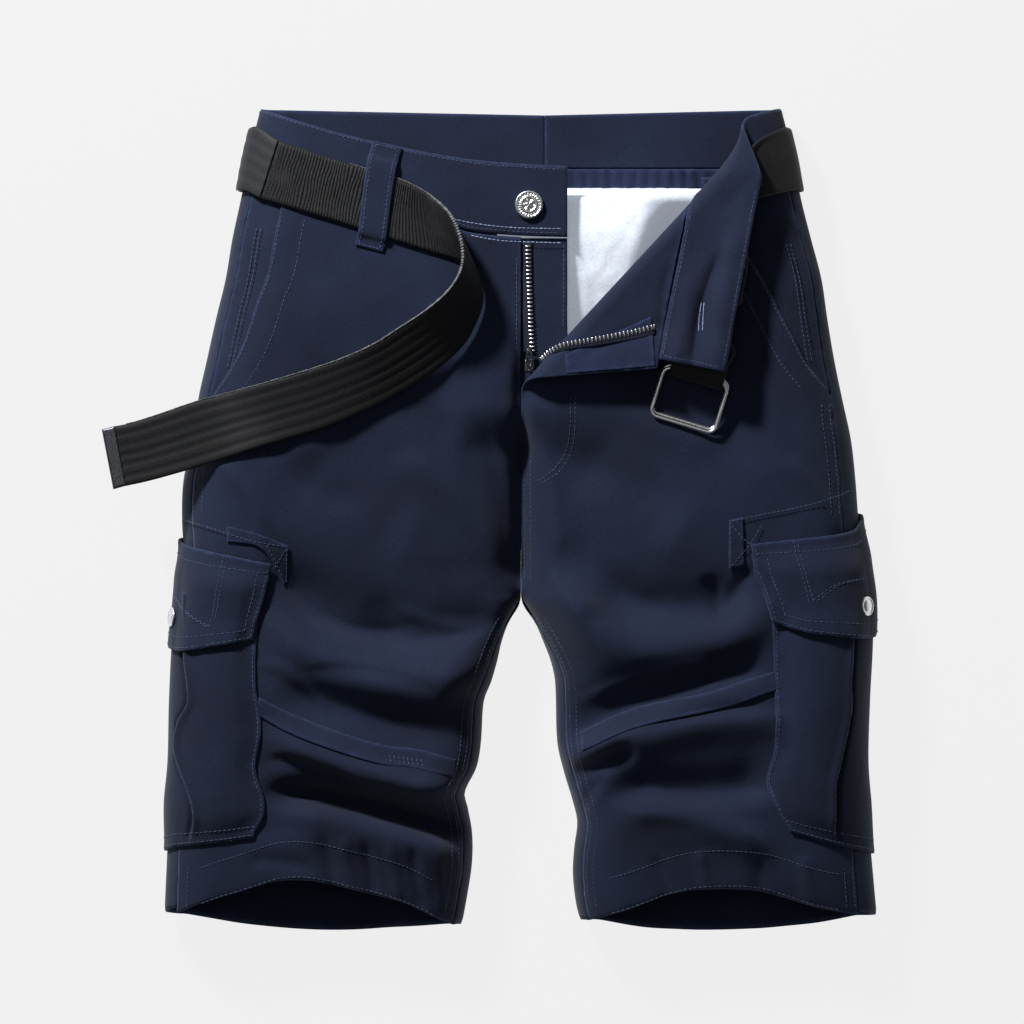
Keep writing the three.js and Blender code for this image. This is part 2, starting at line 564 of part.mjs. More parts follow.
const POCKETS = [
  { name: 'left', half: left, front: LEFT_POCKET_FRONT, flapFront: LEFT_FLAP_FRONT,
    head: [{ across: 0, y: -52 }, { across: 1, y: -40 }],
    foot: [{ across: 0, y: -212 }, { across: 0.3, y: -219 }, { across: 0.5, y: -223 },
      { across: 1, y: -225 }],
    flapHead: [{ across: 0, y: -29 }, { across: 0.42, y: -15 }, { across: 1, y: -8 }],
    flapFoot: [{ across: 0, y: -80 }, { across: 0.25, y: -88 }, { across: 0.45, y: -87 },
      { across: 1, y: -80 }] },
  { name: 'right', half: right, front: RIGHT_POCKET_FRONT, flapFront: RIGHT_FLAP_FRONT,
    head: [{ across: 0, y: -42 }, { across: 1, y: -32 }],
    foot: [{ across: 0, y: -208 }, { across: 0.22, y: -219 }, { across: 0.5, y: -225 },
      { across: 1, y: -226 }],
    flapHead: [{ across: 0, y: -16 }, { across: 0.3, y: -8 }, { across: 0.5, y: 2 },
      { across: 1, y: 8 }],
    flapFoot: [{ across: 0, y: -68 }, { across: 0.15, y: -77 }, { across: 0.4, y: -79 },
      { across: 1, y: -70 }] },
];
const flapOff = (u, v) => 2 * LAY_GAP
  + mix(POCKET_CLOTH + POCKET_SWELL * swellAcross(u), 0, step(0.72, 0.98, v));
const OUTER_SIDE = { u: 0.1, v: 0.5, z: 1 };
for (const p of POCKETS) {
  const place = wrap(p.half, p.front, lineOf(p.head), lineOf(p.foot));
  add('cargo_pocket_' + p.name, shell(place, WRAP_COLUMNS, 10, pocketLow, pocketHigh, OUTER_SIDE),
    cloth);
  const flap = wrap(p.half, p.flapFront, lineOf(p.flapHead), lineOf(p.flapFoot));
  const flapHigh = (u, v) => flapOff(u, v) + FLAP_CLOTH;
  add('cargo_flap_' + p.name, shell(flap, WRAP_COLUMNS, 5, flapOff, flapHigh, OUTER_SIDE), cloth);
}

// A round fastening on a surface, with its axis along the surface's normal
function disc(point, u, v, lift, radius, height) {
  const eps = 1e-3;
  const at = point(u, v);
  const normal = point(u + eps, v).sub(at).cross(point(u, v + eps).sub(at)).normalize();
  const dome = new THREE.LatheGeometry([[0, 0], [radius, 0], [radius, height * 0.45],
    [radius * 0.85, height * 0.85], [0, height]]
    .map(([r, z]) => new THREE.Vector2(r, z)), 16);
  const turn = new THREE.Quaternion().setFromUnitVectors(new THREE.Vector3(0, 1, 0), normal);
  dome.applyQuaternion(turn);
  const base = at.clone().addScaledVector(normal, lift);
  dome.translate(base.x, base.y, base.z);
  return facingOut(dome);
}

// Waist button, on the left waistband
const BUTTON = { x: 25.2, y: 211, radius: 9.5, height: 4 };
add('waist_button', disc((u, v) => onBody(BUTTON.x + u, BUTTON.y + v), 0, 0, 0.5,
  BUTTON.radius, BUTTON.height), steel);

// Knee tapes across both fronts
const KNEE_TAPE_LEFT = [{ ax: -149, ay: -121, bx: -151, by: -132.5 },
  { ax: -123, ay: -134, bx: -128, by: -145 }, { ax: -78, ay: -149, bx: -81, by: -161 },
  { ax: -49, ay: -153, bx: -51, by: -165 }, { ax: -24, ay: -160, bx: -25, by: -172 }];
const KNEE_TAPE_RIGHT = [{ ax: 60, ay: -142, bx: 61, by: -154 },
  { ax: 93.5, ay: -127, bx: 97, by: -138.5 },
  { ax: 145, ay: -116, bx: 147, by: -128 }, { ax: 181, ay: -104, bx: 183, by: -116 }];
const KNEE_GAP_LEFT = 1;
const KNEE_GAP_RIGHT = 2.1;
add('knee_tape_left', shell(strip(KNEE_TAPE_LEFT, onBody), 20, 2,
  KNEE_GAP_LEFT, KNEE_GAP_LEFT + TAPE), cloth);
add('knee_tape_right', shell(strip(KNEE_TAPE_RIGHT, onBody), 18, 2,
  KNEE_GAP_RIGHT, KNEE_GAP_RIGHT + TAPE), cloth);

// Reinforcement tapes from the flaps across the thighs
const TAPE_LEFT = [{ ax: -176, ay: -4, bx: -176, by: -14 }, { ax: -156, ay: -9, bx: -153, by: -19 },
  { ax: -135, ay: -17, bx: -139, by: -44 }];
const TAPE_RIGHT = [{ ax: 158.5, ay: 0, bx: 158.5, by: -33 }, { ax: 168, ay: 2, bx: 169, by: -30 }];
add('reinforcement_left', shell(strip(TAPE_LEFT, onBody), 7, 3, LAY_GAP, LAY_GAP + TAPE), cloth);
add('reinforcement_right', shell(strip(TAPE_RIGHT, onBody), 3, 4, LAY_GAP, LAY_GAP + TAPE), cloth);

// Fly: underlap behind the left front, facing on the turned-down corner, and the zip
const UNDERLAP_SINK = CLOTH + 1.7;
add('fly_underlap', shell((u, v) => onBody(mix(12, FLY_X, u), mix(78, 189, v)), 5, 12,
  -UNDERLAP_SINK - 1.4, -UNDERLAP_SINK), cloth);
add('zip_tape_left', shell((u, v) => onBody(mix(21, 27.5, u), mix(112, 187, v)), 2, 10,
  -UNDERLAP_SINK + 0.5, -UNDERLAP_SINK + 1.3), webbing);
const flatFly = (inset, y) => turnedOver(CENTRE_X + inset, y);
add('fly_facing', shell((u, v) => {
  const y = mix(124, 183, v);
  return flatFly(mix(1.5, mix(14, 35, v), u), y);
}, 6, 10, -CLOTH - 0.5 - 1.2, -CLOTH - 0.5, DOWN), cloth);

// Belt loops: the front one bridges the belt, the hidden ones hold it from below
const LOOP_CLOTH = 1.4;
const LOOP_FRONT = [{ ax: -79, ay: 254, bx: -59.5, by: 249, lift: 0.5 },
  { ax: -81.5, ay: 246, bx: -62, by: 241, lift: 1.2 }, { ax: -83, ay: 239, bx: -63.5, by: 234, lift: 4.1 },
  { ax: -86, ay: 216, bx: -67, by: 211, lift: 4.4 }, { ax: -88.5, ay: 195, bx: -69.5, by: 190, lift: 4.1 },
  { ax: -90, ay: 189, bx: -71, by: 184, lift: 1.2 },
  { ax: -91, ay: 184, bx: -72, by: 179, lift: 0.5 }];
const loopLift = edges(LOOP_FRONT, ['lift'])[0];
add('belt_loop_front_left', shell(strip(LOOP_FRONT, onBody), 14, 3,
  (u) => loopLift(u), (u) => loopLift(u) + LOOP_CLOTH), cloth);
const HIDDEN_LOOPS = [{ name: 'back_left', x: -78 }, { name: 'back_centre', x: 36 },
  { name: 'back_right', x: 128 }];
const LOOP_SIDE = [{ y: 209, z: 3 }, { y: 214, z: 2.2 }, { y: 219, z: 0.3 }, { y: 230, z: 0.2 },
  { y: 255, z: 0.2 }, { y: 266, z: 0.3 }, { y: 269.5, z: 2.2 }, { y: 273, z: 3.2 }];
const loopZ = curve(LOOP_SIDE, 'y', 'z');
for (const spot of HIDDEN_LOOPS) {
  add('belt_loop_' + spot.name, shell((u, v) => {
    const y = mix(209, 273, v);
    return new THREE.Vector3(spot.x + mix(-7, 7, u), y, loopZ(y));
  }, 1, 12, 0, 0.9), cloth);
}

// Inside of the back: gathered binding strip and the white pocketing seen in the open fly
const insideBack = (x, y, rise) => new THREE.Vector3(x, y,
  (x < backMiddle(y) ? left : right).bottom(x, y) + rise);
add('waist_binding', shell((u, v) => {
  const y = mix(224.5, 237.6, v);
  return insideBack(mix(-130, 168, u), y, 2.5 + 0.4 * Math.sin(u * 110));
}, 36, 1, 0, 0.9), cloth);
// The pocketing stays under 24 mm, so that the waist is open above it
const WHITE_RISE = 8;
const whiteWave = (x, y) => WHITE_RISE + 3.2 * Math.sin(x / 13 + y / 31)
  + 2.4 * Math.sin(y / 17 - x / 29);
add('pocketing_white', shell((u, v) => {
  const x = mix(4, mix(96, 150, v), u);
  const y = mix(96, 224.1, v);
  const sides = step(0, 0.3, u) * step(1, 0.7, u);
  return insideBack(x, y, 2.9 + whiteWave(x, y) * step(0, 0.2, v) * step(1, 0.8, v) * sides);
}, 12, 11, 0, 1), pocketing);

// Belt: under the lapel, over the right waistband, round the back, over the left front,
// then a turn on its edge and back to the left
const BELT_ROWS = [
  { ax: -64, ay: 229, az: 0, bx: -77, by: 191, bz: 0 }, { ax: -52, ay: 224, az: 1, bx: -55, by: 184, bz: 0 },
  { ax: -42, ay: 218, az: 3, bx: -36, by: 178, bz: 0 }, { ax: -33, ay: 210, az: 12, bx: -22, by: 174, bz: 0.3 },
  { ax: -27, ay: 203, az: 19, bx: -13, by: 169, bz: 0.6 }, { ax: -21, ay: 190, az: 28, bx: -8, by: 162, bz: 1 },
  { ax: -18.5, ay: 175, az: 33, bx: -6, by: 154, bz: 1 }, { ax: -21, ay: 163, az: 34, bx: -6, by: 144, bz: 1 },
  { ax: -29, ay: 151, az: 31, bx: -11, by: 130, bz: 1 }, { ax: -42, ay: 140, az: 25, bx: -21, by: 114, bz: 1 },
  { ax: -62, ay: 127, az: 18, bx: -43, by: 96, bz: 1.5 }, { ax: -88, ay: 112, az: 12, bx: -75, by: 77.5, bz: 2 },
  { ax: -128, ay: 98, az: 7, bx: -113, by: 61, bz: 2 }, { ax: -163, ay: 88, az: 4, bx: -150, by: 50, bz: 2 },
  { ax: -197, ay: 79, az: 3.5, bx: -184, by: 39, bz: 3 }, { ax: -232, ay: 67, az: 4, bx: -221, by: 28, bz: 3 },
  { ax: -251.5, ay: 62.5, az: 4, bx: -244, by: 22.7, bz: 3 },
];
const BELT_FRONT_ROWS = [{ ax: -142, ay: 254, bx: -154, by: 216 }, { ax: -116, ay: 245, bx: -127, by: 207 },
  { ax: -90, ay: 237, bx: -101, by: 199 }];
const TAIL_Z = 47;
const beltBase = (x, y) => mix(TAIL_Z, bodyTop(x, y), step(-190, -150, x));
const BELT_LAY = 2.2;
const BAND_LAY = 3.9;
const BELT_COLUMNS = 3;
const HALF_WEB = WEBBING / 2;

// The strap's end goes round the bars of the two rings
const BAR = { x: 137.2, y: 97 };
const RING_DOWN = { x: -0.292, y: -0.956 };
const LOOP_RADIUS = 4.9;
const BAR_Z = right.top(BAR.x, BAR.y) + 2.3 + LOOP_RADIUS;
const byBar = (along, across, z) => new THREE.Vector3(
  BAR.x + RING_DOWN.x * along - RING_DOWN.y * across,
  BAR.y + RING_DOWN.y * along + RING_DOWN.x * across, BAR_Z + z);
const acrossBelt = (w) => (0.5 - w) * (BELT_WIDTH - 5);

// Every row of the strap as a function of the share across it, 0 at its lower edge
const beltRows = [];
for (const along of [-24, -12, 0]) beltRows.push((w) => byBar(along, acrossBelt(w), -LOOP_RADIUS));
for (const turn of [36, 72, 108, 144]) {
  const a = turn * Math.PI / 180;
  beltRows.push((w) => byBar(LOOP_RADIUS * Math.sin(a), acrossBelt(w), -LOOP_RADIUS * Math.cos(a)));
}
for (const along of [0, -12, -24]) beltRows.push((w) => byBar(along, acrossBelt(w), LOOP_RADIUS));
const lifted = (point, u, v, lift) => point(u, v).addScaledVector(normalAt(point, u, v), lift);
for (let s = 140; s >= 20; s -= 6) {
  const shift = mix(-13, 4, step(40, 120, s));
  const band = (u, v) => bandRight(s + v - 0.5, shift + u * BELT_WIDTH);
  beltRows.push((w) => lifted(band, w, 0.5, BAND_LAY));
}
const beltY = (w) => BELT_Y + (w - 0.5) * BELT_WIDTH;
function sideRow(half, p, lay) {
  const out = (u, v) => half.skin(p - (u - 0.5) * half.side, BELT_Y + (v - 0.5) * BELT_WIDTH);
  const normal = normalAt(out, 0.5, 0.5);
  beltRows.push((w) => half.skin(p, beltY(w)).addScaledVector(normal, lay));
}
for (const p of [20, 11, 3, -4, -11, -18]) sideRow(right, p, p > 10 ? 2.8 : BELT_LAY);
for (let x = 160; x >= -120; x -= 40) {
  beltRows.push((w) => new THREE.Vector3(x, beltY(w), BELT_LIFT - BELT_LAY));
}
for (const p of [-18, -11, -4, 3, 11, 20]) sideRow(left, p, p > 5 ? 2.6 : BELT_LAY);
const tabFrom = beltRows.length - 3;
const frontRow = edges(BELT_FRONT_ROWS, ['ax', 'ay', 'bx', 'by']);
for (let k = 0; k <= 5; k += 1) {
  const [ax, ay, bx, by] = frontRow.map((f) => f(k / 5));
  beltRows.push((w) => {
    const p = onBody(mix(bx, ax, w), mix(by, ay, w));
    return p.setZ(p.z + BELT_LAY);
  });
}
const tabTo = beltRows.length - 6;
const turn = edges(BELT_ROWS, ['ax', 'ay', 'az', 'bx', 'by', 'bz']);
const TURN_STEPS = 24;
for (let k = 0; k <= TURN_STEPS; k += 1) {
  const [ax, ay, az, bx, by, bz] = turn.map((f) => f(k / TURN_STEPS));
  beltRows.push((w) => new THREE.Vector3(mix(bx, ax, w), mix(by, ay, w),
    BELT_LAY + mix(beltBase(bx, by) + bz, beltBase(ax, ay) + az, w)));
}
const beltGrid = beltRows.map((row) => Array.from({ length: BELT_COLUMNS + 1 },
  (_, i) => row(i / BELT_COLUMNS)));
const beltNormals = gridNormals(beltGrid, 1);
add('belt', closeShell(beltGrid, beltNormals, -HALF_WEB, HALF_WEB), webbing);
const tabSide = beltNormals[tabFrom + 3][1].z > 0 ? 1 : -1;
add('belt_tab', closeShell(beltGrid.slice(tabFrom, tabTo + 1), beltNormals.slice(tabFrom, tabTo + 1),
  tabSide * (HALF_WEB + 0.4), tabSide * (HALF_WEB + 1.4)), webbing);
add('belt_tip', shell((u, v) => {
  const x = mix(mix(-244.4, -252, u), mix(-251.9, -259.6, u), v);
  const y = mix(mix(22.6, 20.5, u), mix(62.4, 60.5, u), v);
  return new THREE.Vector3(x, y, TAIL_Z + BELT_LAY + mix(3, 4, v));
}, 2, 4, -1.6, 1.6), darkSteel);

// Two rings of round wire that hang on the strap's loop
const RING = { wide: 47, long: 36, wire: 2.6, round: 5, shift: 0.9, half: 1.45, droop: 0.1 };
function ring(level) {
  const rows = [];
  const straightX = RING.wide / 2 - RING.wire / 2 - RING.round;
  const straightY = RING.long / 2 - RING.wire / 2 - RING.round;
  const sides = 8;
  const cornerSteps = 4;
  for (let corner = 0; corner < 4; corner += 1) {
    for (let k = 0; k <= cornerSteps; k += 1) {
      const a = (corner + k / cornerSteps) * Math.PI / 2;
      const cx = straightX * (corner === 0 || corner === 3 ? 1 : -1);
      const cy = straightY * (corner < 2 ? 1 : -1);
      rows.push(Array.from({ length: sides }, (_, i) => {
        const b = i / sides * Math.PI * 2;
        const r = RING.round + Math.cos(b) * RING.wire / 2;
        const along = cy + r * Math.sin(a) + RING.long / 2 - RING.wire / 2 + level * RING.shift;
        const z = Math.sin(b) * RING.wire / 2 + level * RING.half;
        const c = Math.cos(RING.droop);
        const s = Math.sin(RING.droop);
        return byBar(along * c + z * s, cx + r * Math.cos(a), z * c - along * s);
      }));
    }
  }
  const n = rows.length;
  const faces = [];
  for (let j = 0; j < n; j += 1) {
    for (let i = 0; i < sides; i += 1) {
      const a = j * sides + i;
      const b = j * sides + (i + 1) % sides;
      const c = (j + 1) % n * sides + (i + 1) % sides;
      const d = (j + 1) % n * sides + i;
      faces.push(a, b, c, a, c, d);
    }
  }
  const geometry = new THREE.BufferGeometry();
  const flat = rows.flat().flatMap((p) => [p.x, p.y, p.z]);
  geometry.setAttribute('position', new THREE.Float32BufferAttribute(flat, 3));
  geometry.setIndex(faces);
  return facingOut(geometry);
}
add('ring_lower', ring(-1), steel);
add('ring_upper', ring(1), steel);

// Snaps on the flaps, at the side of the leg
const SNAP_LEFT_IN = 12;
const SNAP_RIGHT_IN = 24;
add('snap_left', disc((u, v) => left.skin(SNAP_LEFT_IN + u, -66 + v), 0, 0, 6.9, 6.5, 2), steel);
add('snap_right', disc((u, v) => right.skin(SNAP_RIGHT_IN - u, -58 + v), 0, 0, 6.9, 6.5, 2), steel);

// Slider at the foot of the open zip, and its pull tab on a crosswise hinge
add('zip_tape_right', shell((u, v) => {
  const y = mix(124, 184, v);
  return flatFly(mix(mix(4, 22, v), mix(12, 31, v), u), y);
}, 2, 8, -CLOTH - 2.9, -CLOTH - 2.1, DOWN), webbing);
const SLIDER = { x: 25.6, y: 103, wide: 7, long: 9, high: 2.6 };
const ZIP_TOP = bodyTop(SLIDER.x, SLIDER.y) - UNDERLAP_SINK + 0.6;
const sliderBody = new THREE.BoxGeometry(SLIDER.wide, SLIDER.long, SLIDER.high);
sliderBody.translate(SLIDER.x, SLIDER.y, ZIP_TOP + SLIDER.high / 2);
add('slider', sliderBody, steel);
const TAB = { wide: 4.6, long: 13, thick: 1 };
const tabBody = new THREE.BoxGeometry(TAB.wide, TAB.long, TAB.thick);
tabBody.translate(SLIDER.x, SLIDER.y - 1 + TAB.long / 2, ZIP_TOP + SLIDER.high + 0.4 + TAB.thick / 2);
add('pull_tab', tabBody, steel);

shorts.name = 'cargo_shorts';
export default shorts;
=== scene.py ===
import math

import bpy
import numpy as np
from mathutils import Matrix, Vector
from mathutils.bvhtree import BVHTree


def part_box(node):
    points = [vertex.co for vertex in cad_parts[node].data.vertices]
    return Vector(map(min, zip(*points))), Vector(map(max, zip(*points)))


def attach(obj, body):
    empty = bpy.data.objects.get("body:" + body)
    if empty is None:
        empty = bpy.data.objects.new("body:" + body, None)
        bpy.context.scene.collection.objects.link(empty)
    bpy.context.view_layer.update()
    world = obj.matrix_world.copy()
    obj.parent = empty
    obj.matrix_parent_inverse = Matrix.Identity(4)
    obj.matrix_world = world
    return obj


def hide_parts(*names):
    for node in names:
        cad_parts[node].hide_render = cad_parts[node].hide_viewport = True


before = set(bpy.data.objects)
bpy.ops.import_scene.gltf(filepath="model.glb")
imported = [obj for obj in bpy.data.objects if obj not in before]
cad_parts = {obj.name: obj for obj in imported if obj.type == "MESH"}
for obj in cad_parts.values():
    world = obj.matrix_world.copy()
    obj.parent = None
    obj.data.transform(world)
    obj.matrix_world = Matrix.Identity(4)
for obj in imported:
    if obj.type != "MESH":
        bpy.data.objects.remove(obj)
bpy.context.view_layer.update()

# Lengths are in millimetres here, and become metres where a mesh is made.
MM = 0.001
FRAME_SHIFT = -1.28

CLOTH = 1.4
HEM_CLOTH = 2.4
HEM_DEPTH = 26
BAND_CLOTH = 2.4
FLAP_CLOTH = 1.8
TAPE = 0.8
WEBBING = 2.2
SEAM_GAP = 0.05
LAY_GAP = 0.9

EDGE_HEIGHT = 13
MIDDLE_HEIGHT = 49
EDGE_RADIUS = 13
OUTER_ROUND = 42
INNER_ROUND = 34
CENTRE_X = 20
CROTCH_Y = -53
INSEAM_INSET = 12
INSEAM_RUN = 60
BELT_LIFT = 5.0
POCKET_LIFT = 6.6
BELT_WIDTH = 42
BELT_Y = 242.5

# Outer edge of each half and inner edge of each leg, y then x
LEFT_OUTER = [(-268, -221), (-224, -219), (-190, -217.5), (-163, -215), (-122, -214), (-82, -212),
              (-54, -209), (-27, -207.5), (0, -209), (27, -208), (54, -202), (82, -198),
              (109, -192), (136, -186), (163, -179.5), (190, -175), (218, -169), (245, -164),
              (278, -156)]
RIGHT_OUTER = [(-268, 260.5), (-224, 256.5), (-190, 253), (-163, 251), (-122, 252), (-82, 254),
               (-54, 254), (-27, 250.5), (0, 248), (27, 246), (54, 243), (82, 237), (109, 231.5),
               (136, 227), (163, 223), (190, 216), (218, 209), (245, 204), (278, 196)]
LEFT_INNER = [(-274, -20), (-252, -16), (-231, -13), (-211, -13), (-194, -16), (-184, -18),
              (-167, -10), (-150, -7), (-122, -5), (-109, 0), (-95, 4), (-82, 7), (-68, 12),
              (-53, 19.8)]
RIGHT_INNER = [(-271, 60), (-258, 57), (-238, 55), (-221, 56), (-204, 58), (-190, 55), (-170, 49),
               (-150, 44.5), (-109, 43), (-95, 40), (-82, 35), (-68, 29), (-53, 20.2)]
FRONT_HEIGHT = [(-278, 40), (-240, 46), (-180, 50), (-110, 50), (-53, 47), (0, 49), (100, 47),
                (190, 43), (278, 38)]

# Waist lines of the left front, x then y
LEFT_WAIST_EDGE = [(-156, 277.5), (-130, 268), (-96, 258), (-76, 253.5), (-46, 247), (-16, 242),
                   (16, 239), (51, 237)]
LEFT_WAIST_SEAM = [(-167, 238), (-155, 235), (-139, 231), (-115, 226), (-90, 219), (-62, 209),
                   (-31, 199), (-12, 193), (20, 190), (51, 189)]

# Hems from the side to the inseam: share across, y of the front, y of the back
LEFT_HEM = [(0, -264, -267), (0.1, -256, -270), (0.22, -249, -273.5), (0.35, -241.5, -276),
            (0.47, -241, -277.5), (0.58, -245, -278), (0.69, -250, -277.5), (0.81, -256, -276),
            (0.915, -265, -275), (1, -272, -274)]
RIGHT_HEM = [(0, -265, -268), (0.15, -259.5, -273), (0.28, -252, -275.5), (0.38, -247.5, -277),
             (0.575, -247, -278), (0.7, -251, -277.5), (0.835, -260, -276), (1, -269, -271)]

# How far the front's outer edge and the side seam lie inside the outline, y then inset
LEFT_MOUTH = [(-268, 9), (60, 8), (78, 8.5), (98, 18), (121, 24.5), (149, 27), (166, 29.5), (232, 30)]
RIGHT_MOUTH = [(-268, 14), (60, 12), (84, 9), (103, 20), (124, 27.5), (152, 38), (182, 49), (226, 60)]
LEFT_SIDE_SEAM = [(-268, 9), (60, 8), (278, 7)]
RIGHT_SIDE_SEAM = [(-268, 14), (60, 12), (84, 8.7), (278, 7)]

# Main folds: x0, y0, x1, y1, bow, reach above, reach below, rise
FOLDS = [
    (-140, -37, 2, -67, -25, 22, 9, -7), (-147, -71, -8, -101, -20, 15, 18, 7),
    (-130, -116, -21, -146, 0, 12, 12, -4), (-141, -147, -18, -184, -5, 14, 9, 8),
    (-139, -182, -20, -212, 4, 9, 8, -11), (-130, -192, -25, -220, 2, 7, 20, 5),
    (74, -51, 166, -54, -6, 16, 14, -4), (42, -48, 179, -71, -29, 20, 20, 8),
    (47, -146, 172, -99, 6, 20, 10, -8), (53, -158, 188, -133, 7, 7, 14, 5),
    (89, -182, 183, -178, -2, 18, 8, -8), (91, -189, 181, -218, 9, 7, 18, 5),
    (49, -175, 93, -153, 0, 8, 7, -5), (20, 60, 20, -50, 0, 10, 10, -5),
]
# Broad roundness of the thighs and the dip between them, in the same columns
BROAD = [
    (20, 60, 20, -46, 0, 56, 56, -11), (18, 96, 20, -46, 0, 16, 16, -4),
    (-138, 150, -140, -40, 0, 46, 60, 4.5),
    (112, 110, 118, -36, 0, 50, 50, 4), (-112, -210, -110, -262, 0, 46, 46, 3),
    (150, -205, 152, -262, 0, 46, 46, 3), (-80, -64, 0, -64, 0, 24, 24, -3),
    (-112, 60, -20, 96, -14, 16, 30, -4), (72, 92, 176, 66, -8, 20, 30, -4),
    (-126, 36, -60, -6, 10, 22, 26, -4), (60, 40, 120, -2, 8, 24, 24, -4),
]
FOLD_FADE = 0.16
FOLD_DEPTH = 1.55

# Smaller creases that only show, in the same columns
CREASES = [
    (-112, -212, -106, -248, 1, 4, 5, -1.6), (-98, -214, -92, -250, -1, 4, 4, 1.2),
    (-84, -216, -80, -252, 1, 4, 4, -1.5), (-68, -218, -62, -256, 1, 4, 5, 1.3),
    (-52, -220, -46, -260, -1, 4, 4, -1.4), (-36, -222, -33, -262, 1, 4, 4, 1.0),
    (-130, -58, -60, -74, -6, 5, 5, -1.4), (-60, -60, -6, -72, -4, 5, 6, 1.3),
    (-120, -100, -40, -112, 5, 4, 6, -1.3), (-150, -95, -110, -128, 4, 5, 5, 1.4),
    (-148, -160, -96, -172, 3, 4, 5, -1.4), (-90, -160, -30, -178, -3, 3, 5, 1.1),
    (-160, -228, -120, -232, 2, 5, 5, -1.1), (-190, 40, -150, -4, 6, 6, 7, 1.4),
    (-120, 96, -30, 60, 8, 12, 14, -1.8), (-60, 40, 4, -20, 8, 10, 12, 1.6),
    (-150, 60, -90, 10, -8, 12, 12, -1.4), (-40, 160, -20, 40, 5, 8, 10, 1.2),
    (145, -39, 152, -64, 2, 5, 5, -2.0), (175, -33, 156, -66, -2, 5, 5, -1.6),
    (30, -24, 70, -58, -6, 7, 8, 1.6), (60, -10, 110, -60, -8, 8, 9, -1.5),
    (72, -174, 60, -205, -3, 4, 5, -2.0), (96, -196, 160, -210, 4, 5, 6, 1.2),
    (110, -226, 118, -256, 1, 4, 5, -1.1), (140, -222, 146, -250, -1, 4, 5, 1.2),
    (176, -224, 180, -252, 1, 5, 5, -1.2), (210, -226, 214, -258, -1, 5, 5, 1.1),
    (62, -120, 150, -96, 5, 4, 6, 1.4), (100, -142, 180, -124, 4, 4, 5, -1.2),
    (40, 40, 110, 10, 8, 12, 14, -1.6), (70, 90, 150, 50, -8, 12, 12, 1.5),
    (150, 130, 210, 60, 8, 10, 12, -1.4), (196, 40, 232, -8, 5, 6, 8, 1.5),
    (30, 56, 46, -20, 3, 6, 6, 1.2), (-4, 60, 12, -40, 3, 6, 7, -1.3),
    (20, 110, 20.5, -52, 0, 5, 5, -4.5),
]


def mix(a, b, t):
    return a + (b - a) * t


def ease(t):
    t = np.clip(t, 0, 1)
    return t * t * (3 - 2 * t)


def step(start, end, t):
    return ease((t - start) / (end - start))


def curve(keys, values):
    """A smooth curve through values at rising keys; a value may itself be an array."""
    k = np.asarray(keys, float)
    v = np.asarray(values, float)
    n = len(k)
    slopes = []
    for i in range(n):
        a, b = max(0, i - 1), min(n - 1, i + 1)
        slopes.append((v[b] - v[a]) / (k[b] - k[a]))
    slopes = np.asarray(slopes)

    def read(at):
        t = np.clip(at, k[0], k[-1])
        i = np.clip(np.searchsorted(k, t, side="left") - 1, 0, n - 2)
        h = k[i + 1] - k[i]
        s = (t - k[i]) / h
        if v.ndim > 1:
            shape = s.shape + (1,) * (v.ndim - 1)
            s, h = s.reshape(shape), h.reshape(shape)
        even = s * s * (3 - 2 * s)
        return (v[i] * (1 - even) + v[i + 1] * even
                + h * (slopes[i] * s * (1 - s) ** 2 - slopes[i + 1] * s * s * (1 - s)))
    return read


def by_rows(rows, value=1):
    return curve([row[0] for row in rows], [row[value] for row in rows])


def noise(x, y, size, seed):
    """Smooth noise from -1 to 1 whose lumps are about size across."""
    grid = np.random.default_rng(seed).uniform(-1, 1, (64, 64))
    gx, gy = x / size, y / size
    ix, iy = np.floor(gx).astype(int), np.floor(gy).astype(int)
    fx, fy = ease(gx - ix), ease(gy - iy)
    a = mix(grid[ix % 64, iy % 64], grid[(ix + 1) % 64, iy % 64], fx)
    b = mix(grid[ix % 64, (iy + 1) % 64], grid[(ix + 1) % 64, (iy + 1) % 64], fx)
    return mix(a, b, fy)


def fold_sum(rows, x, y):
    total = np.zeros(np.broadcast(x, y).shape)
    for x0, y0, x1, y1, bow, above, below, rise in rows:
        dx, dy = x1 - x0, y1 - y0
        far = math.hypot(dx, dy)
        t = ((x - x0) * dx + (y - y0) * dy) / far ** 2
        fade = step(-FOLD_FADE, FOLD_FADE, t) * step(1 + FOLD_FADE, 1 - FOLD_FADE, t)
        off = ((y - y0) * dx - (x - x0) * dy) / far - bow * 4 * t * (1 - t)
        total = total + rise * fade * np.exp(-(off / np.where(off > 0, above, below)) ** 2)
    return total


front_height = by_rows(FRONT_HEIGHT)


def rounding(d, reach):
    return np.where(d >= reach, 1, np.sqrt(np.maximum(0, 1 - (1 - np.minimum(d, reach) / reach) ** 2)))


def vec(x, y, z):
    return np.stack(np.broadcast_arrays(x, y, z), -1).astype(float)


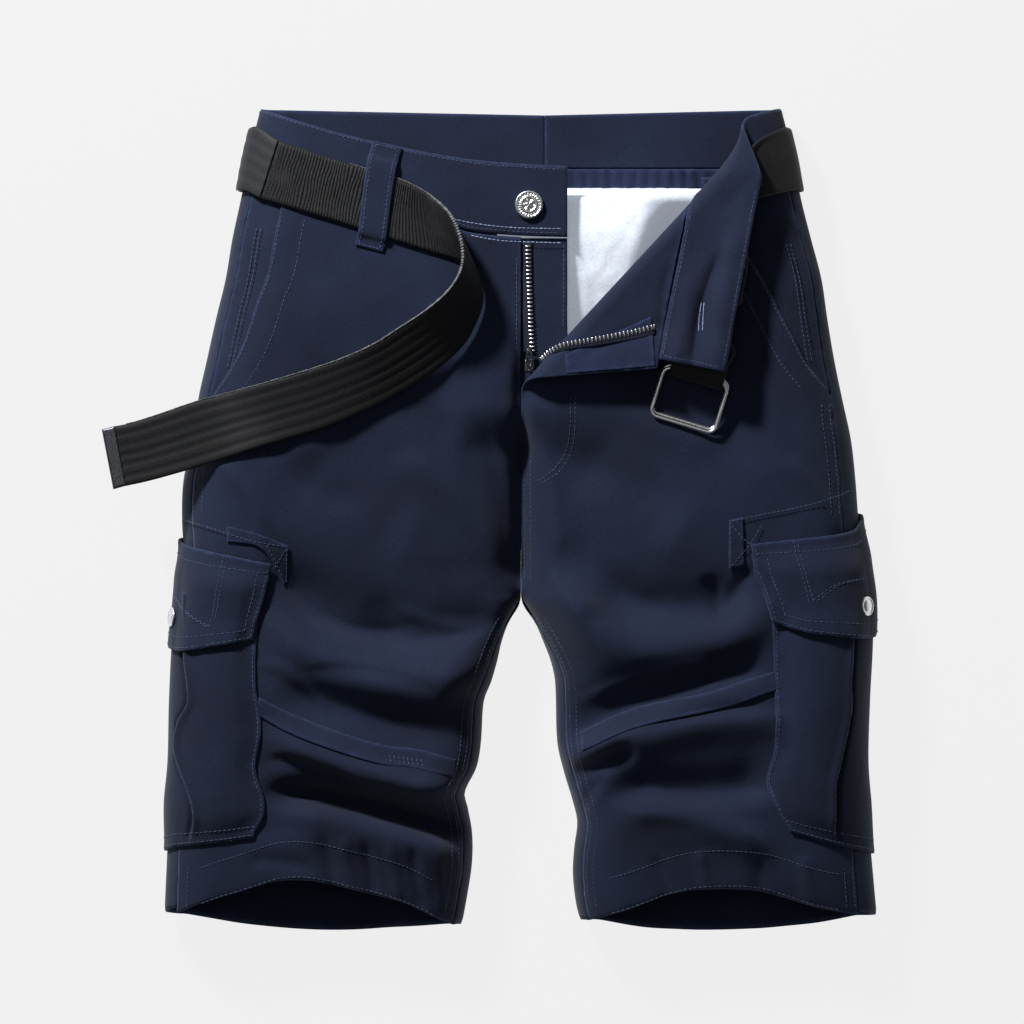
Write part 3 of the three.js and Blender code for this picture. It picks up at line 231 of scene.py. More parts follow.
class Half:
    """One half of the garment as it lies: side is -1 on the left and 1 on the right."""

    top_arc = (OUTER_ROUND + MIDDLE_HEIGHT - EDGE_HEIGHT) / 2
    low_arc = (EDGE_RADIUS + EDGE_HEIGHT) / 2
    under = low_arc * math.pi / 2

    def __init__(self, side, outer, inner, mouth, seam):
        self.side = side
        self.outer = by_rows(outer)
        self.leg = by_rows(inner)
        self.mouth = by_rows(mouth)
        self.side_seam = by_rows(seam)

    def inner(self, y):
        return np.where(y >= CROTCH_Y, CENTRE_X, self.leg(y))

    def from_inner(self, x, y):
        above = np.hypot(CENTRE_X - x, y - CROTCH_Y)
        return np.where(y >= CROTCH_Y, above, np.maximum(0, self.side * (x - self.inner(y))))

    def from_outer(self, x, y):
        return np.maximum(0, self.side * (self.outer(y) - x))

    def lift(self, x, y):
        under = 1 - step(82, 112, self.from_outer(x, y))
        patch = step(-254, -229, y) * (1 - step(12, 44, y))
        return step(150, 200, y) * BELT_LIFT + under * patch * POCKET_LIFT

    def top(self, x, y):
        rise = rounding(self.from_outer(x, y), OUTER_ROUND) * rounding(self.from_inner(x, y), INNER_ROUND)
        fine = 1.5 * fold_sum(CREASES, x, y) + 0.9 * noise(x, y, 38, 3) + 0.3 * noise(x, y, 15, 5)
        height = front_height(y) - EDGE_HEIGHT + FOLD_DEPTH * fold_sum(FOLDS, x, y)
        height = height + fine + fold_sum(BROAD, x, y)
        return EDGE_HEIGHT + height * rise

    def bottom(self, x, y):
        flat = rounding(self.from_outer(x, y), EDGE_RADIUS) * rounding(self.from_inner(x, y), EDGE_RADIUS)
        return mix(EDGE_HEIGHT, self.lift(x, y), flat)

    @staticmethod
    def inset(p, arc, radius):
        quarter = arc * math.pi / 2
        bent = radius * (1 - np.cos(np.minimum(p, quarter) / arc))
        return np.where(p < quarter, bent, radius + p - quarter)

    def along_top(self, d):
        bent = self.top_arc * np.arccos(np.clip(1 - np.minimum(d, OUTER_ROUND) / OUTER_ROUND, -1, 1))
        return np.where(d < OUTER_ROUND, bent, self.top_arc * math.pi / 2 + d - OUTER_ROUND)

    def skin(self, p, y):
        """A point of the outer skin: p up the front from the outline, or down the back."""
        p, y = np.broadcast_arrays(np.asarray(p, float), np.asarray(y, float))
        xt = self.outer(y) - self.side * self.inset(np.maximum(p, 0), self.top_arc, OUTER_ROUND)
        xb = self.outer(y) - self.side * self.inset(np.maximum(-p, 0), self.low_arc, EDGE_RADIUS)
        x = np.where(p >= 0, xt, xb)
        return vec(x, y, np.where(p >= 0, self.top(xt, y), self.bottom(xb, y)))

    def front(self, x, y):
        return vec(x, y, self.top(x, y))

    def inseam_inset(self, y):
        return INSEAM_INSET * step(CROTCH_Y, CROTCH_Y - INSEAM_RUN, y)


left = Half(-1, LEFT_OUTER, LEFT_INNER, LEFT_MOUTH, LEFT_SIDE_SEAM)
right = Half(1, RIGHT_OUTER, RIGHT_INNER, RIGHT_MOUTH, RIGHT_SIDE_SEAM)


def body_top(x, y):
    return np.where(x < CENTRE_X, left.top(x, y), right.top(x, y))


def on_body(x, y):
    return vec(x, y, body_top(x, y))


# The right front's corner, turned down over its crease
CREASE_X = 150
CREASE_Y = 218.3
CREASE_OUT = (-0.734, 0.679)
CREASE_ROUND = 6.8
LAPEL_RISE = 9
LAPEL_FOLDS = [
    (134, 104, 150, 172, 3, 4, 8, -3.6), (121, 104, 132, 160, -2, 5, 5, 1.8),
    (150, 104, 163, 190, 2, 5, 6, 2.2), (60, 112, 118, 128, 3, 6, 6, -1.4),
    (112, 120, 118, 176, 0, 4, 4, -1.2), (150, 210, 176, 246, 0, 8, 10, -1.4),
]


def turned_over(x, y):
    past = (x - CREASE_X) * CREASE_OUT[0] + (y - CREASE_Y) * CREASE_OUT[1]
    over = np.maximum(past, 0)
    turn = np.minimum(over / CREASE_ROUND, math.pi)
    back = np.maximum(0, over - math.pi * CREASE_ROUND)
    shift = CREASE_ROUND * np.sin(turn) - over - back
    px = x + CREASE_OUT[0] * shift
    py = y + CREASE_OUT[1] * shift
    rise = CREASE_ROUND * (1 - np.cos(turn)) + LAPEL_RISE * ease(back / 90)
    rise = rise + fold_sum(LAPEL_FOLDS, px, py) * step(4, 16, back)
    return vec(px, py, right.top(px, py) + rise)


BAND_WIDTH = 44
RIGHT_BAND = {"x": 206, "y": 236, "dx": -0.963, "dy": -0.268, "length": 187}


def band_right(s, w):
    return turned_over(RIGHT_BAND["x"] + s * RIGHT_BAND["dx"] + w * RIGHT_BAND["dy"],
                       RIGHT_BAND["y"] + s * RIGHT_BAND["dy"] - w * RIGHT_BAND["dx"])


left_seam = by_rows(LEFT_WAIST_SEAM)
left_edge = by_rows(LEFT_WAIST_EDGE)
left_hem = by_rows(LEFT_HEM, 1)
right_hem = by_rows(RIGHT_HEM, 1)


def spread(u):
    return mix(u, (1 - np.cos(np.pi * u)) / 2, 0.45)


def front_panel(half, row_at, place):
    def point(u, v):
        across = spread(u)
        y = row_at(across, v)
        start = half.outer(y) - half.side * (half.mouth(y) + SEAM_GAP / 2)
        end = half.inner(y) + half.side * (half.inseam_inset(y) * 0.5 + SEAM_GAP)
        return place(mix(start, end, across), y)
    return point


def left_row(across, v):
    return mix(left_seam(mix(-139, CENTRE_X, across)) - 0.5, left_hem(across), v)


def right_waist_seam(across):
    x = mix(150, CENTRE_X, across)
    return RIGHT_BAND["y"] + (x - RIGHT_BAND["x"]) * RIGHT_BAND["dy"] / RIGHT_BAND["dx"] - SEAM_GAP


TURNED_ROWS, ROUND_ROWS, DOWN_ROWS = 5, 5, 23
RIGHT_ROWS = TURNED_ROWS + ROUND_ROWS + DOWN_ROWS


def right_row(across, v):
    x = mix(150, CENTRE_X, across)
    seam = right_waist_seam(across)
    crease = CREASE_Y - (x - CREASE_X) * CREASE_OUT[0] / CREASE_OUT[1]
    over = np.minimum(crease + math.pi * CREASE_ROUND / CREASE_OUT[1], seam - 4)
    under = np.minimum(crease, over - 6)
    row = v * RIGHT_ROWS
    first = mix(seam, over, row / TURNED_ROWS)
    second = mix(over, under, (row - TURNED_ROWS) / ROUND_ROWS)
    third = mix(under, right_hem(across), (row - TURNED_ROWS - ROUND_ROWS) / DOWN_ROWS)
    return np.where(row < TURNED_ROWS, first, np.where(row < TURNED_ROWS + ROUND_ROWS, second, third))


BACK_SEAM_X = 36
SIDE_SHARE = 6 / 18
INSEAM_SHARE = 5 / 18


def back_middle(y):
    return mix(CENTRE_X, BACK_SEAM_X, step(CROTCH_Y + 20, 190, y))


def hem_round(rows):
    front, back = by_rows(rows, 1), by_rows(rows, 2)

    def read(u):
        side = mix(front(0.04), back(0), ease(u / SIDE_SHARE))
        inseam = mix(back(1), front(1), ease((u - 1 + INSEAM_SHARE) / INSEAM_SHARE))
        middle = back((u - SIDE_SHARE) / (1 - SIDE_SHARE - INSEAM_SHARE))
        return np.where(u < SIDE_SHARE, side, np.where(u > 1 - INSEAM_SHARE, inseam, middle))
    return read


def back_panel(half, hem):
    side = half.side

    def point(u, v):
        y = mix(236, hem(u), v)
        top = half.along_top(half.side_seam(y) - 0.1)
        round_side = half.skin(mix(top, -half.under, np.minimum(u / SIDE_SHARE, 1)), y)
        legs = step(CROTCH_Y + 12, CROTCH_Y - 20, y)
        middle = mix(back_middle(y), half.inner(y), legs)
        start = half.outer(y) - side * EDGE_RADIUS
        turn = middle + side * mix(0.2 * EDGE_RADIUS, EDGE_RADIUS, legs)
        x = mix(start, turn, (u - SIDE_SHARE) / (1 - INSEAM_SHARE - SIDE_SHARE))
        crumple = 1.1 * (1 + noise(x, y, 26, 11)) * (1 + noise(x, y, 60, 12)) * 0.5
        crumple = crumple * step(0, 30, half.from_outer(x, y)) * step(0, 30, np.abs(x - middle))
        flat = vec(x, y, half.bottom(x, y) + crumple)
        share = np.clip((u - 1 + INSEAM_SHARE) / INSEAM_SHARE, 0, 1)
        rise = np.maximum(0, half.inseam_inset(y) * 0.5 - 0.1)
        rise_arc = half.top_arc * np.arccos(1 - rise / INNER_ROUND)
        along = share * (half.under + rise_arc)
        lifted = (along > half.under) & (legs > 0)
        d_up = INNER_ROUND * (1 - np.cos((along - half.under) / half.top_arc))
        d_low = EDGE_RADIUS * (1 - np.sin(np.minimum(along, half.under) / half.low_arc))
        d = np.where(along > half.under, d_up, d_low)
        round_x = middle + side * np.maximum(d, SEAM_GAP / 2)
        xi = mix(mix(turn, middle + side * SEAM_GAP / 2, share), round_x, legs)
        inseam = vec(xi, y, np.where(lifted, half.top(xi, y), half.bottom(xi, y)))
        first = (u <= SIDE_SHARE)[..., None]
        last = (u > 1 - INSEAM_SHARE)[..., None]
        return np.where(first, round_side, np.where(last, inseam, flat))
    return point


FLY_X = 51


def band_behind(half, t, w):
    y = mix(238, mix(278, 274, t), w / BAND_WIDTH)
    end = np.abs(BACK_SEAM_X + half.side * SEAM_GAP / 2 - half.outer(y))
    return half.skin(-t * (half.under + end - EDGE_RADIUS), y)


def waistband_left(u, v):
    behind = band_behind(left, 1 - np.minimum(u / 0.45, 1), v * BAND_WIDTH)
    t = np.maximum(u - 0.45, 0) / 0.55
    place = left.skin(t * left.along_top(FLY_X - left.outer(240)), np.full_like(t, 240))
    for _ in range(3):
        y = mix(left_seam(place[..., 0]) + 0.5, left_edge(place[..., 0]), v)
        place = left.skin(t * left.along_top(FLY_X - left.outer(y)), y)
    return np.where((u < 0.45)[..., None], behind, place)


def waistband_right(u, v):
    behind = band_behind(right, 1 - np.minimum(u / 0.4, 1), v * BAND_WIDTH)
    t = np.maximum(u - 0.4, 0) / 0.6
    s = t * RIGHT_BAND["length"]
    flat = band_right(s, v * BAND_WIDTH)
    round_side = right.skin(right.along_top(s), mix(238, 278, v) - s * 0.268)
    front = mix(round_side, flat, step(0.12, 0.3, t)[..., None])
    return np.where((u < 0.4)[..., None], behind, front)


def facing(half, low, high):
    def point(u, v):
        y = mix(low, high, v)
        start = half.along_top(half.side_seam(y) + 0.5)
        return half.skin(mix(start, half.along_top(half.mouth(y) + 6), u), y)
    return point


FACING_DROP = CLOTH + 0.7


def facing_drop(u, v):
    return -FACING_DROP * ease(u / 0.55)


# Cargo pockets and flaps, wrapped round the side
POCKET_CLOTH = 1.4
POCKET_SWELL = 1.6
POCKET_UNDER = 56
WRAP_TOP, WRAP_LOW, WRAP_TURN = 6 / 18, 14 / 18, 22
LEFT_POCKET_FRONT = [(-226, -160), (-210, -158), (-194, -151), (-165, -157), (-140, -153),
                     (-108, -157), (-60, -155)]
RIGHT_POCKET_FRONT = [(-226, 212), (-208, 200), (-194, 191), (-174, 185), (-152, 189), (-100, 189),
                      (-50, 186)]
LEFT_FLAP_FRONT = [(-84, -159.5), (-52, -151), (-25, -147)]
RIGHT_FLAP_FRONT = [(-78, 188), (-51, 182), (-29, 175), (-12, 173)]
PLEAT_LEFT = [(-93, -201.6), (-122, -199.4), (-134, -205), (-154, -207.7), (-193, -197), (-215, -200.5)]
PLEAT_RIGHT = [(-79, 239), (-112, 237), (-127, 237), (-166, 230), (-177, 228), (-215, 229)]
PLEAT_RISE = 3.6
POCKETS = [
    {"name": "left", "half": left, "pleat": PLEAT_LEFT, "front": LEFT_POCKET_FRONT,
     "flap_front": LEFT_FLAP_FRONT,
     "head": [(0, -52), (1, -40)], "foot": [(0, -212), (0.3, -219), (0.5, -223), (1, -225)],
     "flap_head": [(0, -29), (0.42, -15), (1, -8)],
     "flap_foot": [(0, -80), (0.25, -88), (0.45, -87), (1, -80)]},
    {"name": "right", "half": right, "pleat": PLEAT_RIGHT, "front": RIGHT_POCKET_FRONT,
     "flap_front": RIGHT_FLAP_FRONT,
     "head": [(0, -42), (1, -32)], "foot": [(0, -208), (0.22, -219), (0.5, -225), (1, -226)],
     "flap_head": [(0, -16), (0.3, -8), (0.5, 2), (1, 8)],
     "flap_foot": [(0, -68), (0.15, -77), (0.4, -79), (1, -70)]},
]


def wrap(half, front_rows, head, foot):
    front, head, foot = by_rows(front_rows), by_rows(head), by_rows(foot)

    def point(u, v):
        y = mix(foot(u), head(u), v)
        start = half.along_top(half.side * (half.outer(y) - front(y)))
        a = mix(start, WRAP_TURN, u / WRAP_TOP)
        b = mix(WRAP_TURN, -half.under, (u - WRAP_TOP) / (WRAP_LOW - WRAP_TOP))
        c = -half.under - POCKET_UNDER * (u - WRAP_LOW) / (1 - WRAP_LOW)
        return half.skin(np.where(u < WRAP_TOP, a, np.where(u < WRAP_LOW, b, c)), y)
    return point


def swell_across(u):
    return step(0, 0.16, u) * step(0.8, 0.5, u)


def pocket_low(u, v):
    return LAY_GAP + POCKET_SWELL * swell_across(u) * step(0, 0.2, v)


def pleated(half, bag, pleat_rows):
    """The pocket's lift with its bellows: the face stands up and drops in at the pleat."""
    line = by_rows(sorted(pleat_rows))

    def low(u, v):
        place = bag(u, v)
        off = half.side * (place[..., 0] - line(place[..., 1]))
        off = np.where(u < WRAP_TOP * 1.1, off, 30)
        face = PLEAT_RISE * step(0.9, -0.9, off) * step(0, 0.12, v) * step(0, 0.1, u)
        groove = -2.8 * np.exp(-((off - 1.7) / 1.5) ** 2) * step(0, 0.08, v)
        roll = 1.5 * np.exp(-((off + 2.2) / 2.2) ** 2) * step(0, 0.12, v)
        return pocket_low(u, v) + face + groove + roll
    return low


def flap_low(u, v):
    face = step(0.36, 0.24, u) * step(0, 0.1, u)
    over = POCKET_CLOTH + POCKET_SWELL * swell_across(u) + PLEAT_RISE * face
    return 2 * LAY_GAP + mix(over, 0, step(0.62, 0.98, v)) + 1.4 * step(0.3, 0, v) * face


def strip(rows, place):
    n = len(rows) - 1
    keys = [i / n for i in range(n + 1)]
    ax, ay, bx, by = (curve(keys, [row[c] for row in rows]) for c in range(4))

    def point(u, v):
        return place(mix(ax(u), bx(u), v), mix(ay(u), by(u), v))
    return point


KNEE_TAPE_LEFT = [(-155, -118, -157, -129.5), (-123, -134, -128, -145), (-78, -149, -81, -161),
                  (-49, -153, -51, -165), (-24, -160, -25, -172)]
KNEE_TAPE_RIGHT = [(60, -142, 61, -154), (93.5, -127, 97, -138.5), (145, -116, 147, -128),
                   (189, -101, 191, -113.5)]
TAPE_LEFT = [(-176, -4, -176, -14), (-156, -9, -153, -19), (-135, -17, -139, -44)]
TAPE_RIGHT = [(158.5, 0, 158.5, -33), (168, 2, 169, -30)]
LOOP_FRONT = [(-79, 254, -59.5, 249, 0.5), (-81.5, 246, -62, 241, 1.2), (-83, 239, -63.5, 234, 4.1),
              (-86, 216, -67, 211, 4.4), (-88.5, 195, -69.5, 190, 4.1), (-90, 189, -71, 184, 1.2),
              (-91, 184, -72, 179, 0.5)]
LOOP_SIDE = [(209, 3), (214, 2.2), (219, 0.3), (230, 0.2), (255, 0.2), (266, 0.3), (269.5, 2.2),
             (273, 3.2)]
HIDDEN_LOOPS = [("back_left", -78), ("back_centre", 36), ("back_right", 128)]
UNDERLAP_SINK = CLOTH + 1.7


def inside_back(x, y, rise):
    z = np.where(x < back_middle(y), left.bottom(x, y), right.bottom(x, y))
    return vec(x, y, z + rise)


WHITE_RISE = 27


def white_wave(x, y):
    return WHITE_RISE + 3.2 * np.sin(x / 13 + y / 31) + 2.4 * np.sin(y / 17 - x / 29)


def pocketing(u, v):
    x = mix(4, mix(96, 150, v), u)
    y = mix(96, 224.1, v)
    fine = 0.9 * noise(x, y, 16, 21) + 0.4 * noise(x, y, 7, 22)
    sides = step(0, 0.3, u) * step(1, 0.7, u)
    wave = (white_wave(x, y) + fine) * step(0, 0.14, v) * step(1, 0.93, v) * sides
    return inside_back(x, y, 2.9 + wave)


def binding(u, v):
    return inside_back(mix(-130, 168, u), mix(224.5, 237.6, v), 2.5 + 0.4 * np.sin(u * 220))


def count(n):
    return n


def unit(a):
    return a / np.maximum(np.linalg.norm(a, axis=-1, keepdims=True), 1e-9)


def grid_normals(points):
    du = np.gradient(points, axis=1)
    dv = np.gradient(points, axis=0)
    return unit(np.cross(du, dv))


def arc(points, axis):
    """Distance along one direction of a grid of points, from its first row or column."""
    far = np.linalg.norm(np.diff(points, axis=axis), axis=-1)
    start = np.zeros_like(np.take(far, [0], axis=axis))
    return np.concatenate([start, np.cumsum(far, axis=axis)], axis=axis)


def linear(text):
    """A colour given as sRGB hex, in the linear values that shaders use."""
    parts = [int(text[i:i + 2], 16) / 255 for i in (0, 2, 4)]
    return tuple(c / 12.92 if c <= 0.04045 else ((c + 0.055) / 1.055) ** 2.4 for c in parts) + (1,)


def node(tree, kind, inputs=None, **settings):
    """Adds a node; an input is a value, or a socket to link."""
    made = tree.nodes.new(kind)
    for key, value in settings.items():
        setattr(made, key, value)
    for key, value in (inputs or {}).items():
        if isinstance(value, bpy.types.NodeSocket):
            tree.links.new(value, made.inputs[key])
        else:
            made.inputs[key].default_value = value
    return made


def scale_for(size):
    """Scale of a noise texture whose lumps are about size millimetres."""
    return 1 / (size * MM)


def bands_for(pitch):
    """Scale of a wave texture with one band each pitch millimetres."""
    return 2 * math.pi / 20 / (pitch * MM)


def new_material(name):
    made = bpy.data.materials.new(name)
    made.use_nodes = True
    made.node_tree.nodes.clear()
    return made


def finish_material(tree, shader):
    node(tree, "ShaderNodeOutputMaterial", {"Surface": shader.outputs[0]})


def twill(name, shade, faded, worn_and_lit_edge, line_pitch=1.5, crumple=0.35):
    """Cotton twill, woven and piece dyed: the dye is a little uneven, and the edges are paler, partly
    from wear and partly as a painted highlight where the rolled edge catches the light.
    """
    made = new_material(name)
    tree = made.node_tree
    where = node(tree, "ShaderNodeTexCoord")
    cloud = node(tree, "ShaderNodeTexNoise", {
        "Vector": where.outputs["Object"], "Scale": scale_for(70), "Detail": 3.0})
    # Diagonal ribs of the weave, drawn twice as coarse as they are so that they show
    turned = node(tree, "ShaderNodeMapping", {
        "Vector": where.outputs["UV"], "Rotation": (0, 0, math.radians(62))})
    lines = node(tree, "ShaderNodeTexWave", {
        "Vector": turned.outputs[0], "Scale": bands_for(line_pitch), "Distortion": 1.2,
        "Detail": 2.0, "Detail Scale": 1.5})
    fleck = node(tree, "ShaderNodeTexNoise", {
        "Vector": where.outputs["Object"], "Scale": scale_for(1.6), "Detail": 2.0})
    dye = node(tree, "ShaderNodeMapRange", {
        "Value": cloud.outputs["Fac"], "From Min": 0.35, "From Max": 0.65})
    body = node(tree, "ShaderNodeMix", {
        "Factor": dye.outputs[0]}, data_type="RGBA")
    body.inputs[6].default_value = linear(shade)
    body.inputs[7].default_value = linear(faded)
    grain = node(tree, "ShaderNodeMapRange", {
        "Value": fleck.outputs["Fac"], "From Min": 0.3, "From Max": 0.7, "To Min": 0.86, "To Max": 1.12})
    rib = node(tree, "ShaderNodeMapRange", {
        "Value": lines.outputs["Fac"], "To Min": 0.93, "To Max": 1.06})
    both = node(tree, "ShaderNodeMath", {0: grain.outputs[0], 1: rib.outputs[0]}, operation="MULTIPLY")
    woven = node(tree, "ShaderNodeVectorMath", {0: body.outputs[2], "Scale": both.outputs[0]},
                 operation="SCALE")
    # Paler edges: partly wear, partly a painted highlight along each piece's rim, broken up by noise
    edge = node(tree, "ShaderNodeAttribute", attribute_name="edge")
    edge_patch_noise = node(tree, "ShaderNodeTexNoise", {
        "Vector": where.outputs["Object"], "Scale": scale_for(5), "Detail": 3.0})
    edge_patches = node(tree, "ShaderNodeMapRange", {
        "Value": edge_patch_noise.outputs["Fac"], "From Min": 0.35, "From Max": 0.62, "To Min": 0.25, "To Max": 1.0})
    wear_and_highlight = node(tree, "ShaderNodeMath", {0: edge.outputs["Fac"], 1: edge_patches.outputs[0]},
                operation="MULTIPLY")
    coloured = node(tree, "ShaderNodeMix", {"Factor": wear_and_highlight.outputs[0]}, data_type="RGBA")
    tree.links.new(woven.outputs[0], coloured.inputs[6])
    coloured.inputs[7].default_value = linear(worn_and_lit_edge)
    creased = node(tree, "ShaderNodeTexNoise", {
        "Vector": where.outputs["Object"], "Scale": scale_for(9), "Detail": 4.0, "Roughness": 0.55})
    soft = node(tree, "ShaderNodeBump", {
        "Height": creased.outputs["Fac"], "Strength": crumple, "Distance": 0.8 * MM})
    thread = node(tree, "ShaderNodeBump", {
        "Height": lines.outputs["Fac"], "Strength": 0.35, "Distance": 0.12 * MM,
        "Normal": soft.outputs[0]})
    shader = node(tree, "ShaderNodeBsdfPrincipled", {
        "Base Color": coloured.outputs[2], "Roughness": 0.86, "Sheen Weight": 0.1,
        "Sheen Roughness": 0.5, "Specular IOR Level": 0.22, "Normal": thread.outputs[0]})
    finish_material(tree, shader)
    return made


def webbing(name, dark, light, pick=1.4, bump=0.5):
    """Woven polyester webbing: a dull sheen with fine cross threads and paler flecks."""
    made = new_material(name)
    tree = made.node_tree
    where = node(tree, "ShaderNodeTexCoord")
    threads = node(tree, "ShaderNodeTexWave", {
        "Vector": where.outputs["UV"], "Scale": bands_for(pick), "Distortion": 0.8,
        "Detail": 2.0}, bands_direction="Y")
    fleck = node(tree, "ShaderNodeTexNoise", {
        "Vector": where.outputs["UV"], "Scale": scale_for(1.2), "Detail": 3.0})
    tone = node(tree, "ShaderNodeMapRange", {
        "Value": fleck.outputs["Fac"], "From Min": 0.35, "From Max": 0.7})
    colour = node(tree, "ShaderNodeMix", {"Factor": tone.outputs[0]}, data_type="RGBA")
    colour.inputs[6].default_value = linear(dark)
    colour.inputs[7].default_value = linear(light)
    height = node(tree, "ShaderNodeMath", {0: threads.outputs["Fac"], 1: fleck.outputs["Fac"]},
                  operation="ADD")
    relief = node(tree, "ShaderNodeBump", {
        "Height": height.outputs[0], "Strength": bump, "Distance": 0.15 * MM})
    shader = node(tree, "ShaderNodeBsdfPrincipled", {
        "Base Color": colour.outputs[2], "Roughness": 0.6, "Sheen Weight": 0.05,
        "Specular IOR Level": 0.25, "Normal": relief.outputs[0]})
    finish_material(tree, shader)
    return made


def metal(name, bright, dull, roughness, grit=0.8):
    """Plated steel, tumbled: bright, with fine scuffs that break the reflections."""
    made = new_material(name)
    tree = made.node_tree
    where = node(tree, "ShaderNodeTexCoord")
    scuff = node(tree, "ShaderNodeTexNoise", {
        "Vector": where.outputs["Object"], "Scale": scale_for(grit), "Detail": 4.0})
    tone = node(tree, "ShaderNodeMapRange", {
        "Value": scuff.outputs["Fac"], "From Min": 0.4, "From Max": 0.7})
    colour = node(tree, "ShaderNodeMix", {"Factor": tone.outputs[0]}, data_type="RGBA")
    colour.inputs[6].default_value = linear(bright)
    colour.inputs[7].default_value = linear(dull)
    gloss = node(tree, "ShaderNodeMapRange", {
        "Value": scuff.outputs["Fac"], "To Min": roughness * 0.7, "To Max": roughness * 1.4})
    relief = node(tree, "ShaderNodeBump", {
        "Height": scuff.outputs["Fac"], "Strength": 0.12, "Distance": 0.1 * MM})
    shader = node(tree, "ShaderNodeBsdfPrincipled", {
        "Base Color": colour.outputs[2], "Metallic": 1.0, "Roughness": gloss.outputs[0],
        "Normal": relief.outputs[0]})
    finish_material(tree, shader)
    return made


def thread(name, shade, light):
    """Spun polyester sewing thread: slightly glossy, with a twist that flecks it."""
    made = new_material(name)
    tree = made.node_tree
    where = node(tree, "ShaderNodeTexCoord")
    twist = node(tree, "ShaderNodeTexNoise", {
        "Vector": where.outputs["Object"], "Scale": scale_for(2.5), "Detail": 2.0})
    tone = node(tree, "ShaderNodeMapRange", {
        "Value": twist.outputs["Fac"], "From Min": 0.35, "From Max": 0.65})
    colour = node(tree, "ShaderNodeMix", {"Factor": tone.outputs[0]}, data_type="RGBA")
    colour.inputs[6].default_value = linear(shade)
    colour.inputs[7].default_value = linear(light)
    shader = node(tree, "ShaderNodeBsdfPrincipled", {
        "Base Color": colour.outputs[2], "Roughness": 0.6, "Sheen Weight": 0.2})
    finish_material(tree, shader)
    return made


# The third colour of each twill is its paler edge: wear, and a painted highlight on the rolled rim
NAVY = twill("navy_cotton_twill", "151c32", "1b243c", "273454")
NAVY_INSIDE = twill("navy_twill_inner_face", "18203a", "1e2744", "2b385c", crumple=0.3)
POPLIN = twill("white_cotton_poplin", "d3dae4", "dde3eb", "e8edf3", line_pitch=0.9, crumple=0.5)
# The white cloth glows a little, chosen so that it stays white in the fly's shade
brightened = POPLIN.node_tree.nodes["Principled BSDF"]
brightened.inputs["Emission Color"].default_value = linear("dfe9fb")
brightened.inputs["Emission Strength"].default_value = 0.3
RIBBED_WEBBING = webbing("black_ribbed_webbing", "0d0e10", "1e1f22")
PRESSED_END = webbing("pressed_webbing_end", "1c1e21", "292b2f", pick=3.0, bump=0.25)
ZIP_TAPE = webbing("navy_zip_tape", "131827", "1d2438", pick=1.0)
# Pale grey for the painted highlight along the belt's upper edge
EDGE_HIGHLIGHT_THREAD = thread("painted_belt_edge_highlight", "3c3d41", "707176")
NICKEL = metal("polished_nickel_plate", "f0f1f3", "cfd1d4", 0.3)
GUNMETAL = metal("black_nickel_plate", "5a5b60", "34353a", 0.32)
SEAM_THREAD = thread("navy_sewing_thread", "232c49", "36436a")
PALE_THREAD = thread("pale_blue_sewing_thread", "7386ad", "a3b3d4")


def make_object(name, points, faces, material, uv=None, edge=None):
    """A mesh in the shared frame from points in millimetres, with its faces turned outwards."""
    place = np.asarray(points, float).reshape(-1, 3) + (FRAME_SHIFT, 0, 0)
    faces = np.asarray(faces)
    a, b, c = (place[faces[:, i]] for i in range(3))
    volume = np.einsum("ij,ij->i", a, np.cross(b, c)).sum()
    if faces.shape[1] == 4:
        volume += np.einsum("ij,ij->i", a, np.cross(c, place[faces[:, 3]])).sum()
    if volume < 0:
        faces = faces[:, ::-1]
    mesh = bpy.data.meshes.new(name)
    mesh.from_pydata((place * MM).tolist(), [], faces.tolist())
    if uv is not None:
        layer = mesh.uv_layers.new(name="flat_cloth")
        layer.data.foreach_set("uv", (uv.reshape(-1, 2)[faces.ravel()] * MM).ravel())
    if edge is not None:
        kept = mesh.attributes.new("edge", "FLOAT", "POINT")
        kept.data.foreach_set("value", edge.ravel().astype(float))
    mesh.shade_smooth()
    mesh.materials.append(material)
    made = bpy.data.objects.new(name, mesh)
    bpy.context.scene.collection.objects.link(made)
    return made


def close_shell(name, grid, normals, low, high, material, tuck=0.5):
    """A closed cloth between two distances from a grid of points, with its rim rounded."""
    rows, columns = grid.shape[:2]
    thin = np.ones((rows, columns))
    thin[[0, -1], :] = tuck
    thin[:, [0, -1]] = tuck
    middle, half = (np.broadcast_to((high + low) / 2, thin.shape),
                    np.broadcast_to((high - low) / 2, thin.shape) * thin)
    top = grid + normals * (middle + half)[..., None]
    under = grid + normals * (middle - half)[..., None]
    k = (np.arange(rows - 1)[:, None] * columns + np.arange(columns - 1)).ravel()
    n = rows * columns
    quads = [np.stack([k, k + 1, k + 1 + columns, k + columns], -1),
             np.stack([k, k + columns, k + columns + 1, k + 1], -1) + n]
    i = np.arange(columns - 1)
    end = (rows - 1) * columns + i
    quads.append(np.stack([i, n + i, n + i + 1, i + 1], -1))
    quads.append(np.stack([end + 1, n + end + 1, n + end, end], -1))
    j = np.arange(rows - 1) * columns
    m = j + columns - 1
    quads.append(np.stack([j + columns, n + j + columns, n + j, j], -1))
    quads.append(np.stack([m, n + m, n + m + columns, m + columns], -1))
    across, along = arc(grid, 1), arc(grid, 0)
    ends = np.minimum(across, across[:, -1:] - across)
    sides = np.minimum(along, along[-1:] - along)
    # Closeness to the rim, which the twill shaders turn paler as wear and as a painted highlight
    edge = np.exp(-(np.minimum(ends, sides) / 1.6) ** 2)
    uv = np.stack([across, along], -1)
    return make_object(name, np.concatenate([top.reshape(-1, 3), under.reshape(-1, 3)]),
                       np.concatenate(quads), material,
                       np.concatenate([uv.reshape(-1, 2)] * 2), np.concatenate([edge.ravel()] * 2))


